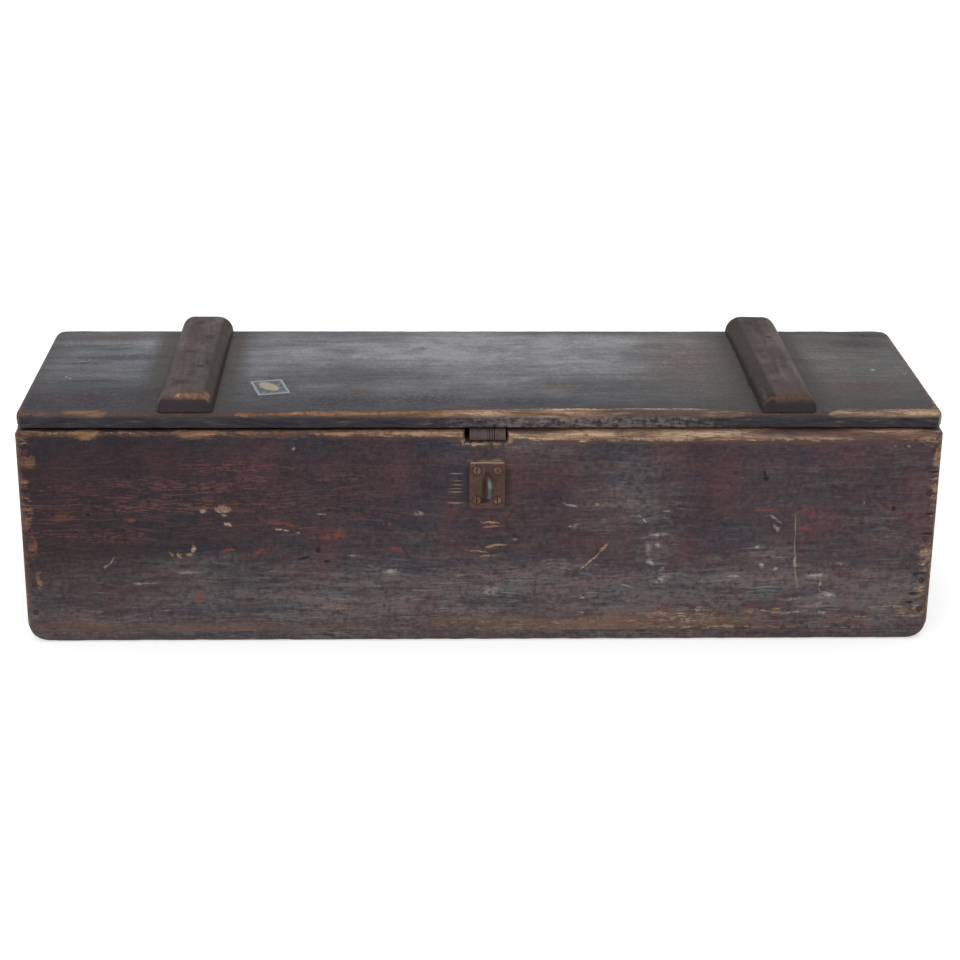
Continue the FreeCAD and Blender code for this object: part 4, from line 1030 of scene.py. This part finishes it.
def batten_paint(name, seed, front_wear, nail_stain, end_drop, red, shade_slope_start):
    """Brown paint on a batten, handled until it shines along its arrises."""
    material, tree, shader = new_material(f"handled_paint_{name}")
    paint = colours()
    low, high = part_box(name)
    top = high.z / MM
    surface = Surface(tree, low - Vector((0, 0, BATTEN_BLOCK_DROP)), high, 1, seed)
    mixed = node(tree, "Math", {0: surface.patches, 1: surface.blotches}, operation="ADD")[0]
    mixed = node(tree, "Math", {0: mixed, 1: 0.5}, operation="MULTIPLY")[0]
    coat = node(tree, "ValToRGB", {0: mixed}, stops=(
        (0.40, paint.batten_dark), (0.50, paint.batten_coat), (0.62, paint.batten_grey)))[0]
    coat = laid_over(tree, coat, (surface.blotches, 0.50, 0.66, 0.6, paint.lid_slate),
                     (surface.bands, 0.44, 0.66, 0.5, BATTEN_RUDDY))
    coat = surface.toned(coat, (surface.fine, 0.34, 0.66, 0.85, 1.15),
                         (surface.blotches, 0.34, 0.66, 0.70, 1.30), (surface.flecks, 0.34, 0.66, 0.80, 1.20))

    # Red undercoat shows on the rounded front end
    rosy = surface.along(surface.y, (
        (-142, red), (-128, red), (-102, 0.65 * red), (-82, 0.0), (142, 0.0)))
    rosy = surface.varied(rosy, (surface.flecks, 0.36, 0.58, 0.45, 1.0))
    coat = node(tree, "Mix", {0: rosy, 6: coat, 7: BATTEN_RED}, data_type="RGBA")[2]

    # The slope towards the middle of the box is darker: darker paint and a painted shade
    middle = (low.x + high.x) / 2 / MM
    aside = node(tree, "Math", {0: surface.x, 1: middle}, operation="SUBTRACT")[0]
    aside = node(tree, "Math", {0: aside, 1: -1.0 if middle > 0 else 1.0}, operation="MULTIPLY")[0]
    aside = node(tree, "Math", {0: surface.flecks, 1: 6.0, 2: aside}, operation="MULTIPLY_ADD")[0]
    coat = laid_over(tree, coat, (aside, shade_slope_start, shade_slope_start + 3.0, 0.88, BATTEN_SLOPE_SHADE))

    reach = surface.along(surface.y, BATTEN_NEAR_FRONT)
    reach = surface.varied(reach, (surface.z, top - 11, top - 4, 0.0, 1.0))
    wear = surface.along(surface.x, front_wear)
    reach = node(tree, "Math", {0: reach, 1: wear}, operation="MULTIPLY")[0]
    reach = node(tree, "Math", {0: reach, 1: BATTEN_WORN_MOST}, operation="MULTIPLY")[0]
    base = surface.lay_bare(coat, reach, 10.0, 0.1)

    heads = [(first + last) / 2 / MM for first, last in fastener_boxes("batten_nails")]
    spots = [(head.x, head.y, *NAIL_STAIN_SIZE) for head in heads if low.x < head.x * MM < high.x]
    stains = surface.marks(surface.place, spots, top, False)
    base = laid_over(tree, base, (stains, 0.05, 0.4, nail_stain, NAIL_STAIN))
    end = node(tree, "MapRange", {0: surface.y, 1: low.y / MM + 4.5, 2: low.y / MM + 2.5, 4: 0.9})[0]
    below = node(tree, "MapRange", {0: surface.z, 1: top - end_drop + 1.5, 2: top - end_drop - 1.5})[0]
    end = node(tree, "Math", {0: end, 1: below}, operation="MULTIPLY")[0]
    base = node(tree, "Mix", {0: end, 6: base, 7: BATTEN_END}, data_type="RGBA")[2]
    surface.finish(shader, base, 0.45, 0.06)
    return material


# Where the face of the ironwork lies along y, and how deep its dark ovals of dirt, rust and painted shadow reach

IRON_FACE = -146
DARK_OVAL_DEPTH = 20


def iron(name, tone, rust, metallic, roughness, seed, dirt=(), dark_oval_tone=IRON_DIRT_AND_SHADOW, edge=None):
    """Wrought iron with a dry brown skin of rust, matt and a little pitted.

    Dirt is soft dark ovals laid on the front of a fitting, some of them a painted shadow; edge is a height above
    which a pale painted highlight lies.
    """
    material, tree, shader = new_material(name)
    place = places_in_mm(tree)
    blooms = node(tree, "TexNoise", {"Vector": place, "W": seed, "Scale": 1 / 9, "Detail": 4.0},
                  noise_dimensions="4D")["Fac"]
    pits = node(tree, "TexNoise", {"Vector": place, "W": seed + 1, "Scale": 1 / 1.6, "Detail": 3.0},
                noise_dimensions="4D")["Fac"]
    base = node(tree, "ValToRGB", {0: blooms}, stops=((0.38, tone), (0.62, rust)))[0]
    base = laid_over(tree, base, (pits, 0.52, 0.68, 0.65, PIT_RUST))
    for x, z, length, height in dirt:
        oval = node(tree, "Mapping", {"Vector": place, "Location": (x, IRON_FACE, z),
                                      "Scale": (length, DARK_OVAL_DEPTH, height)}, vector_type="TEXTURE")[0]
        oval = node(tree, "TexGradient", {0: oval}, gradient_type="SPHERICAL")["Fac"]
        base = laid_over(tree, base, (oval, 0.05, 0.5, 0.85, dark_oval_tone))
    # A pale painted highlight along the fitting's top edge
    if edge:
        height = node(tree, "SeparateXYZ", {0: place})[2]
        base = laid_over(tree, base, (height, edge - 0.8, edge + 0.3, 0.85, IRON_EDGE_HIGHLIGHT))
    tree.links.new(base, shader.inputs["Base Color"])
    shader.inputs["Metallic"].default_value = metallic
    shader.inputs["Specular IOR Level"].default_value = 0.15
    rough = node(tree, "MapRange", {0: blooms, 1: 0.3, 2: 0.7, 3: roughness, 4: roughness + 0.2})[0]
    tree.links.new(rough, shader.inputs["Roughness"])
    bump = node(tree, "Bump", {"Strength": 0.5, "Distance": 0.2 * MM, "Height": pits})[0]
    tree.links.new(bump, shader.inputs["Normal"])
    return material


def label_paper():
    """Old printed paper: a cream border round a slate field with a plain ochre leaf shape."""
    material, tree, shader = new_material("aged_printed_paper")
    print_place = node(tree, "UVMap", uv_map="print")[0]
    offset = node(tree, "VectorMath", {0: print_place, 1: (0.5, 0.5, 0.0)}, operation="SUBTRACT")[0]
    size = node(tree, "VectorMath", {0: offset}, operation="ABSOLUTE")[0]
    axes = node(tree, "SeparateXYZ", {0: size})
    edge = node(tree, "Math", {0: axes[0], 1: axes[1]}, operation="MAXIMUM")[0]
    field = node(tree, "MapRange", {0: edge, 1: 0.42, 2: 0.40})[0]
    worn = node(tree, "TexNoise", {"Vector": places_in_mm(tree), "Scale": 1 / 5, "Detail": 4.0,
                                   "Roughness": 0.7})["Fac"]
    base = node(tree, "Mix", {0: field, 6: LABEL_BORDER, 7: LABEL_FIELD}, data_type="RGBA")[2]
    leaf = node(tree, "Mapping", {"Vector": print_place, "Location": (0.48, 0.55, 0), "Rotation": (0, 0, 0.6),
                                  "Scale": (0.24, 0.40, 1)}, vector_type="TEXTURE")[0]
    leaf = node(tree, "TexGradient", {0: leaf}, gradient_type="SPHERICAL")["Fac"]
    base = laid_over(tree, base, (leaf, 0.05, 0.2, 1.0, LABEL_LEAF), (worn, 0.50, 0.66, 0.6, LABEL_DUST))
    tree.links.new(base, shader.inputs["Base Color"])
    shader.inputs["Roughness"].default_value = 0.75
    return material


# Woodwork: rounds and reaches of the wear

FOOT_ROUND = 22 * MM
ARRIS_ROUND = 4 * MM
FLAT_REACH = 9 * MM
WEAR_REACH = 8 * MM
WEAR_GRAIN = 14 * MM


def make_board(name, along, shape):
    """A board of the box, cut out of the box's rounded outer form and worn along its arrises."""
    low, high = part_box(name)
    form_high = Vector((BOX_HIGH.x, BOX_HIGH.y, max(high.z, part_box("front_board")[1].z)))
    board = start_block(f"worn_{name}", BOX_LOW, form_high)
    floor = BOX_LOW.z
    faces = (BOX_LOW.y, BOX_HIGH.y)
    round_edges(board, lambda a, b: near(a.z, floor) and near(b.z, floor) and near(a.x, b.x), FOOT_ROUND, 10)
    round_edges(board, lambda a, b: any(near(a.y, face) and near(b.y, face) for face in faces)
                or (near(a.z, form_high.z) and near(b.z, form_high.z)), ARRIS_ROUND, 4)
    for axis in range(3):
        if low[axis] > BOX_LOW[axis] + 0.1 * MM:
            slice_at(board, axis, low[axis], drop="below")
        if high[axis] < form_high[axis] - 0.1 * MM:
            slice_at(board, axis, high[axis], drop="above")
    soften(board, shape.seam_round)
    add_sections(board, along, shape.step)
    hold_flats(board, BOX_LOW, form_high, FLAT_REACH)
    wear_arrises(board, BOX_LOW, form_high, WEAR_REACH, shape.wear_depth, WEAR_GRAIN, 1)
    return board


# The notch for the hasp's barrel: its middle, width and depth, how its worn front arris flares, and how
# far its cutter reaches past the board and above it

NOTCH_MIDDLE = 4
NOTCH_WIDTH = 43
NOTCH_DEPTH = 11.2 * MM
NOTCH_ROUND = 3 * MM
NOTCH_FLARE = 1.28
NOTCH_FLARE_DEPTH = 3.5 * MM
NOTCH_FLARE_DROP = 6 * MM
NOTCH_PAST = 8 * MM
NOTCH_ABOVE = 6 * MM


def notch_cutter():
    """Cutter of the notch for the hasp's barrel, flared where its front arris is worn."""
    low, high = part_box("front_board")
    left, right = NOTCH_MIDDLE - NOTCH_WIDTH / 2, NOTCH_MIDDLE + NOTCH_WIDTH / 2
    bottom = high.z - NOTCH_DEPTH
    cutter = start_block("notch_cutter", Vector((left * MM, low.y - NOTCH_PAST, bottom)),
                         Vector((right * MM, high.y + NOTCH_PAST, high.z + NOTCH_ABOVE)))
    slice_at(cutter, 1, low.y + NOTCH_FLARE_DEPTH)
    round_edges(cutter, lambda a, b: near(a.z, bottom) and near(b.z, bottom) and near(a.x, b.x),
                NOTCH_ROUND, 3)
    front = low.y - NOTCH_PAST
    middle = (left + right) / 2 * MM
    for vertex in cutter.data.vertices:
        if near(vertex.co.y, front):
            vertex.co.x = middle + (vertex.co.x - middle) * NOTCH_FLARE
            if vertex.co.z < high.z:
                vertex.co.z = vertex.co.z - NOTCH_FLARE_DROP
    return cutter


class TOOLBOX_OT_box_boards(bpy.types.Operator):
    """Make the front, back, end and bottom boards of the box"""

    bl_idname = "toolbox.box_boards"
    bl_label = "Add Box Boards"

    def execute(self, context):
        shape = context.scene.tool_box_shape
        gap = shape.nail_clearance
        front = make_board("front_board", 0, shape)
        subtract(front, notch_cutter(), *head_pits("front_corner_nails", 1, -1, gap))
        finish_piece(front, front_paint(), "box", "box_paint", "front_board")
        long_paint = side_paint("worn_oil_paint_long_boards", 0, 131.0)
        end_paint = side_paint("worn_oil_paint_end_boards", 1, 171.0)
        back = make_board("back_board", 0, shape)
        leaves = ("left_hinge_box_leaf", "right_hinge_box_leaf")
        subtract(back, *mortises(leaves, BOX_HIGH.z - MORTISE_DEPTH, BOX_HIGH.z + CUT_PAST),
                 *head_pits("back_corner_nails", 1, 1, gap))
        finish_piece(back, long_paint, "box", "box_paint", "back_board")
        for name in ("left_end_board", "right_end_board"):
            board = make_board(name, 1, shape)
            finish_piece(board, end_paint, "box", "box_paint", name)
        bottom = make_board("bottom_board", 0, shape)
        subtract(bottom, *head_pits("bottom_nails", 2, -1, gap))
        finish_piece(bottom, long_paint, "box", "box_paint", "bottom_board")
        return {"FINISHED"}


# Rounds of the lid's front and back corners, of its upper and its lower arris, and its flats' reach

LID_CORNERS = (10 * MM, 15 * MM)
LID_UPPER_ROUND = 4.5 * MM
LID_LOWER_ROUND = 3 * MM
LID_FLAT_REACH = 8.4 * MM


class TOOLBOX_OT_lid_plank(bpy.types.Operator):
    """Make the plank of the lid"""

    bl_idname = "toolbox.lid_plank"
    bl_label = "Add Lid Plank"

    def execute(self, context):
        shape = context.scene.tool_box_shape
        plank = start_block("worn_lid_board", LID_LOW, LID_HIGH)
        for end, width in zip((LID_LOW.y, LID_HIGH.y), LID_CORNERS):
            round_edges(plank, lambda a, b: near(a.x, b.x) and near(a.y, end) and near(b.y, end), width, 6)
        for face, width, segments in ((LID_HIGH.z, LID_UPPER_ROUND, 4), (LID_LOW.z, LID_LOWER_ROUND, 3)):
            round_edges(plank, lambda a, b: near(a.z, face) and near(b.z, face), width, segments)
        add_sections(plank, 0, shape.step)
        hold_flats(plank, LID_LOW, LID_HIGH, LID_FLAT_REACH)
        wear_arrises(plank, LID_LOW, LID_HIGH, WEAR_REACH, shape.wear_depth, WEAR_GRAIN, 7)
        leaves = ("left_hinge_lid_leaf", "right_hinge_lid_leaf")
        subtract(plank, *mortises(leaves, LID_LOW.z - CUT_PAST, LID_LOW.z + MORTISE_DEPTH))
        finish_piece(plank, lid_paint(), "lid", "lid_paint", "lid_board")
        return {"FINISHED"}


# The battens: share of their width left at the top, round of their ends, and grain of their wear

BATTEN_TOP_SHARE = 51 / 57
BATTEN_END_ROUND = 6 * MM
BATTEN_WEAR_GRAIN = 18 * MM

# Of each batten: seed, rounds of its left and right upper arris, strength of its nail stains, how far
# under its top the dark end starts, share of red, start of its dark slope from its middle (darker paint
# and a painted shade), and the wear of its front end along x as a share of the most

BATTENS = {
    "left_batten": (8, 11 * MM, 14 * MM, 0.9, 3.0, 0.3, 19.5,
                    ((-325, 0.0), (-309, 0.1), (-303, 0.85), (-268, 0.9))),
    "right_batten": (9, 14 * MM, 13 * MM, 0.25, 7.0, 0.9, 16.5,
                     ((281, 0.2), (298, 0.12), (308, 0.06), (337, 0.03))),
}


class TOOLBOX_OT_battens(bpy.types.Operator):
    """Make the two battens across the lid"""

    bl_idname = "toolbox.battens"
    bl_label = "Add Battens"

    def execute(self, context):
        shape = context.scene.tool_box_shape
        for name, (seed, left, right, nail_stain, end_drop, red, shade_slope_start, front_wear) in BATTENS.items():
            low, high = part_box(name)
            batten = start_block(f"worn_{name}", low, high)
            middle = (low.x + high.x) / 2
            for vertex in batten.data.vertices:
                if near(vertex.co.z, high.z):
                    vertex.co.x = middle + (vertex.co.x - middle) * BATTEN_TOP_SHARE
            for side, width in ((-1, left), (1, right)):
                round_edges(batten, lambda a, b: near(a.z, high.z) and near(b.z, high.z) and near(a.x, b.x)
                            and side * (a.x - middle) > 0, width, 9)
            round_edges(batten, lambda a, b: near(a.y, b.y) and not (near(a.z, low.z) and near(b.z, low.z)),
                        BATTEN_END_ROUND, 5)
            add_sections(batten, 1, shape.step)
            hold_flats(batten, low, high, FLAT_REACH)
            wear_arrises(batten, low, high, FLAT_REACH, shape.wear_depth, BATTEN_WEAR_GRAIN, seed)
            subtract(batten, *head_pits("batten_nails", 2, 1, shape.nail_clearance))
            paint = batten_paint(name, 200.0 + seed, front_wear, nail_stain, end_drop, red, shade_slope_start)
            finish_piece(batten, paint, "lid", "batten_wood", name)
        return {"FINISHED"}


# The label: width, length, turn on the lid and thickness, and how far its edges are frayed

LABEL_SIZE = (34 * MM, 47 * MM, 1)
LABEL_TURN = math.radians(14.3)
LABEL_THICKNESS = 0.28 * MM
LABEL_FRAY = (0.03, 0.02)


class TOOLBOX_OT_label(bpy.types.Operator):
    """Make the paper label on the lid"""

    bl_idname = "toolbox.label"
    bl_label = "Add Label"

    def execute(self, context):
        low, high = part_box("lid_label")
        select_only()
        middle = Vector(((low.x + high.x) / 2, (low.y + high.y) / 2, high.z))
        bpy.ops.mesh.primitive_grid_add(x_subdivisions=16, y_subdivisions=22, size=1, location=middle,
                                        rotation=(0, 0, LABEL_TURN))
        paper = context.object
        paper.scale = LABEL_SIZE
        paper.name = "printed_label"
        chance = random.Random(4)
        layer = paper.data.uv_layers[0]
        layer.name = "print"
        for vertex in paper.data.vertices:
            if abs(abs(vertex.co.x) - 0.5) < 0.01 or abs(abs(vertex.co.y) - 0.5) < 0.01:
                vertex.co.x *= 1 - LABEL_FRAY[0] * chance.random()
                vertex.co.y *= 1 - LABEL_FRAY[1] * chance.random()
        settle()
        thick = paper.modifiers.new("thickness", "SOLIDIFY")
        thick.thickness = LABEL_THICKNESS
        thick.offset = -1
        bpy.ops.object.modifier_apply(modifier=thick.name)
        finish_piece(paper, label_paper(), "lid", "label_paper", "lid_label")
        return {"FINISHED"}


# The staple's screws: radius, height and round of a head, how far it is sunk, its slot's width, cut and
# length, and the turns of the four slots in degrees

HEAD_RADIUS = 4 * MM
HEAD_HEIGHT = 1.2 * MM
HEAD_ROUND = 0.45 * MM
HEAD_SUNK = 0.1 * MM
SLOT_SIZE = (1.7 * MM, 2.2 * MM, 12 * MM)
SLOT_TURNS = (0.0, 8.0, -6.0, -28.0)


def slotted_head(place, turn):
    """The rounded head of a wood screw in the staple plate, with its slot near upright."""
    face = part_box("staple_plate")[0].y
    select_only()
    bpy.ops.mesh.primitive_cylinder_add(vertices=32, radius=HEAD_RADIUS, depth=HEAD_HEIGHT,
                                        location=(place.x, face + HEAD_SUNK, place.z),
                                        rotation=(math.radians(90), 0, 0))
    head = bpy.context.object
    settle()
    front = min(vertex.co.y for vertex in head.data.vertices)
    round_edges(head, lambda a, b: near(a.y, front) and near(b.y, front), HEAD_ROUND, 3)
    select_only()
    bpy.ops.mesh.primitive_cube_add(size=1, location=(place.x, front, place.z), rotation=(0, turn, 0),
                                    scale=SLOT_SIZE)
    subtract(head, bpy.context.object)
    return head


# Dark ovals on iron: x, z, half length, half height in millimetres. Under the loop they are its painted
# shadow on the plate, round the screws dirt, at the loop's ends rust; lines beside the barrel's knuckles too

LOOP_SHADOW = ((2.0, 158.0, 9, 5), (2.6, 171.0, 3.2, 15))
LOOP_ENDS = ((6.7, 190.0, 14, 14), (6.7, 158.0, 14, 8))
SCREW_DIRT = (6.2, 6.8)
KNUCKLE_LINES = tuple((place, 227.0, 0.8, 40) for place in (7.3, 10.0, 12.4))


class TOOLBOX_OT_ironwork(bpy.types.Operator):
    """Finish the nails, the staple, the hasp and the hinges"""

    bl_idname = "toolbox.ironwork"
    bl_label = "Finish Ironwork"

    def execute(self, context):
        paint = context.scene.tool_box_colours
        plate_top = (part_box("staple_plate")[1] / MM).z
        screws = [(low + high) / 2 / MM for low, high in fastener_boxes("staple_screws")]
        # Dirt round the screws, and the loop's painted shadow on the plate
        dirt = (*((screw.x, screw.z, *SCREW_DIRT) for screw in screws), *LOOP_SHADOW)
        # The plate's top edge gets a pale painted highlight
        plate = iron("rust_skinned_plate", paint.rust, PLATE_BROWN, 0.3, 0.5, 3.0, dirt, edge=plate_top - 1)
        rusty = iron("rust_skinned_screws", paint.rust, SCREW_BROWN, 0.3, 0.5, 4.0)
        loop = iron("rubbed_iron_loop", LOOP_BRIGHT, LOOP_DARK, 0.5, 0.42, 5.0, LOOP_ENDS, LOOP_RUST)
        hasp = iron("brown_iron_hasp", HASP_PLUM, paint.iron, 0.4, 0.45, 7.0, KNUCKLE_LINES)
        hinge = iron("rusted_iron_hinges", paint.iron, paint.rust, 0.4, 0.5, 9.0)
        nails = iron("painted_over_nail_heads", paint.coat_brown, NAIL_BROWN, 0.0, 0.55, 13.0)
        dark_nails = iron("black_nail_heads", NAIL_BLACK, NAIL_DULL, 0.1, 0.6, 15.0)
        finishes = {
            plate: ("staple_plate",),
            rusty: ("staple_screws",),
            loop: ("staple_loop",),
            hasp: ("hasp_lid_leaf", "hasp_strap", "hasp_pin", "hasp_screws"),
            hinge: ("left_hinge_box_leaf", "right_hinge_box_leaf", "left_hinge_lid_leaf",
                    "right_hinge_lid_leaf", "left_hinge_pin", "right_hinge_pin", "hinge_box_screws",
                    "hinge_lid_screws"),
            nails: ("front_corner_nails", "back_corner_nails", "bottom_nails"),
            dark_nails: ("batten_nails",),
        }
        for material, names in finishes.items():
            for name in names:
                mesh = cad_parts[name].data
                mesh.materials.clear()
                mesh.materials.append(material)
        heads = [slotted_head(screw * MM, math.radians(turn)) for screw, turn in zip(screws, SLOT_TURNS)]
        select_only(*heads)
        bpy.ops.object.join()
        heads[0].name = heads[0].data.name = "staple_screw_heads"
        finish_piece(heads[0], rusty, "box", "staple_iron")
        return {"FINISHED"}


# Stage: the camera as fitted to the photo, in millimetres and degrees

CAMERA_PLACE = Vector((-69.57, -2188.36, 961.40)) * MM
CAMERA_YAW, CAMERA_DOWN, CAMERA_ROLL = 1.899, 20.917, 0.5846
CAMERA_LENS = 81.303

# Square lamps: name, place, side in metres and power in watts. Then what they aim at, the floor, and the
# light that comes from all round

LAMPS = (
    ("overhead_light", (0.0, 0.35, 2.2), 2.6, 12.0),
    ("front_light", (-0.8, -2.6, 1.5), 1.8, 24.0),
)
LAMP_AIM = Vector((0, 0, 0.1))
FLOOR_RADIUS = 14
FLOOR_DROP = 0.2 * MM
WORLD_LIGHT = 0.74
WHITE = (1, 1, 1, 1)


class TOOLBOX_OT_stage(bpy.types.Operator):
    """Set up the camera, the soft light and the white floor"""

    bl_idname = "toolbox.stage"
    bl_label = "Add Stage"

    def execute(self, context):
        scene = context.scene
        scene.view_settings.view_transform = "Standard"
        select_only()
        turn = (Matrix.Rotation(-math.radians(CAMERA_YAW), 3, "Z")
                @ Matrix.Rotation(math.radians(90 - CAMERA_DOWN), 3, "X")
                @ Matrix.Rotation(math.radians(CAMERA_ROLL), 3, "Z"))
        bpy.ops.object.camera_add(location=CAMERA_PLACE, rotation=turn.to_euler())
        camera = context.object
        camera.name = "camera"
        camera.data.lens = CAMERA_LENS
        camera.data.sensor_width = 36
        camera.data.clip_end = 50
        scene.camera = camera

        for name, place, size, power in LAMPS:
            aim = (LAMP_AIM - Vector(place)).to_track_quat("-Z", "Y").to_euler()
            bpy.ops.object.light_add(type="AREA", location=place, rotation=aim)
            lamp = context.object
            lamp.name = name
            lamp.data.shape = "SQUARE"
            lamp.data.size = size
            lamp.data.energy = power

        world = bpy.data.worlds.new("studio")
        scene.world = world
        world.use_nodes = True
        tree = world.node_tree
        tree.nodes.clear()
        output = tree.nodes.new("ShaderNodeOutputWorld")
        seen = seen_rays(tree)
        soft = node(tree, "Background", {0: WHITE, 1: WORLD_LIGHT})[0]
        white = node(tree, "Background", {0: WHITE, 1: 1.0})[0]
        sky = node(tree, "MixShader", {0: seen, 1: soft, 2: white})[0]
        tree.links.new(sky, output.inputs["Surface"])

        bpy.ops.mesh.primitive_circle_add(vertices=96, radius=FLOOR_RADIUS, fill_type="NGON",
                                          location=(0, 0, -FLOOR_DROP))
        floor = context.object
        floor.name = "floor"
        settle()
        floor.data.materials.append(floor_paper())
        return {"FINISHED"}


def seen_rays(tree):
    """1 for rays that see the background straight, in a reflection or through glass."""
    rays = node(tree, "LightPath")
    seen = node(tree, "Math", {0: rays["Is Camera Ray"], 1: rays["Is Glossy Ray"]}, operation="MAXIMUM")[0]
    return node(tree, "Math", {0: seen, 1: rays["Is Transmission Ray"]}, operation="MAXIMUM")[0]


def floor_paper():
    """Seamless white background paper, which keeps a soft shadow and is white elsewhere."""
    material, tree, shader = new_material("white_background_paper")
    shader.inputs["Base Color"].default_value = (0.75, 0.75, 0.75, 1)
    shader.inputs["Roughness"].default_value = 0.9
    shader.inputs["Specular IOR Level"].default_value = 0.0
    strength = node(tree, "Math", {0: seen_rays(tree), 1: 0.5}, operation="MULTIPLY")[0]
    glow = node(tree, "Emission", {0: WHITE, 1: strength})[0]
    both = node(tree, "AddShader", {0: shader.outputs[0], 1: glow})[0]
    output = next(item for item in tree.nodes if item.type == "OUTPUT_MATERIAL")
    tree.links.new(both, output.inputs["Surface"])
    return material


class TOOLBOX_PT_sidebar(bpy.types.Panel):
    """Buttons for the parts of the tool box"""

    bl_idname = "TOOLBOX_PT_sidebar"
    bl_label = "Tool Box"
    bl_space_type = "VIEW_3D"
    bl_region_type = "UI"
    bl_category = "Tool Box"

    def draw(self, context):
        layout = self.layout
        for operator in OPERATORS:
            layout.operator(operator.bl_idname)
        for group in (context.scene.tool_box_shape, context.scene.tool_box_colours):
            column = layout.column()
            for name in group.__annotations__:
                column.prop(group, name)


OPERATORS = (
    TOOLBOX_OT_stage,
    TOOLBOX_OT_box_boards,
    TOOLBOX_OT_lid_plank,
    TOOLBOX_OT_battens,
    TOOLBOX_OT_label,
    TOOLBOX_OT_ironwork,
)
CLASSES = (BoxShape, BoxColours, *OPERATORS, TOOLBOX_PT_sidebar)


def register():
    for item in CLASSES:
        bpy.utils.register_class(item)
    bpy.types.Scene.tool_box_shape = PointerProperty(type=BoxShape)
    bpy.types.Scene.tool_box_colours = PointerProperty(type=BoxColours)


def unregister():
    del bpy.types.Scene.tool_box_colours
    del bpy.types.Scene.tool_box_shape
    for item in reversed(CLASSES):
        bpy.utils.unregister_class(item)


def main():
    register()
    for name in ("stage", "box_boards", "lid_plank", "battens", "label", "ironwork"):
        getattr(bpy.ops.toolbox, name)()


if __name__ == "__main__":
    main()
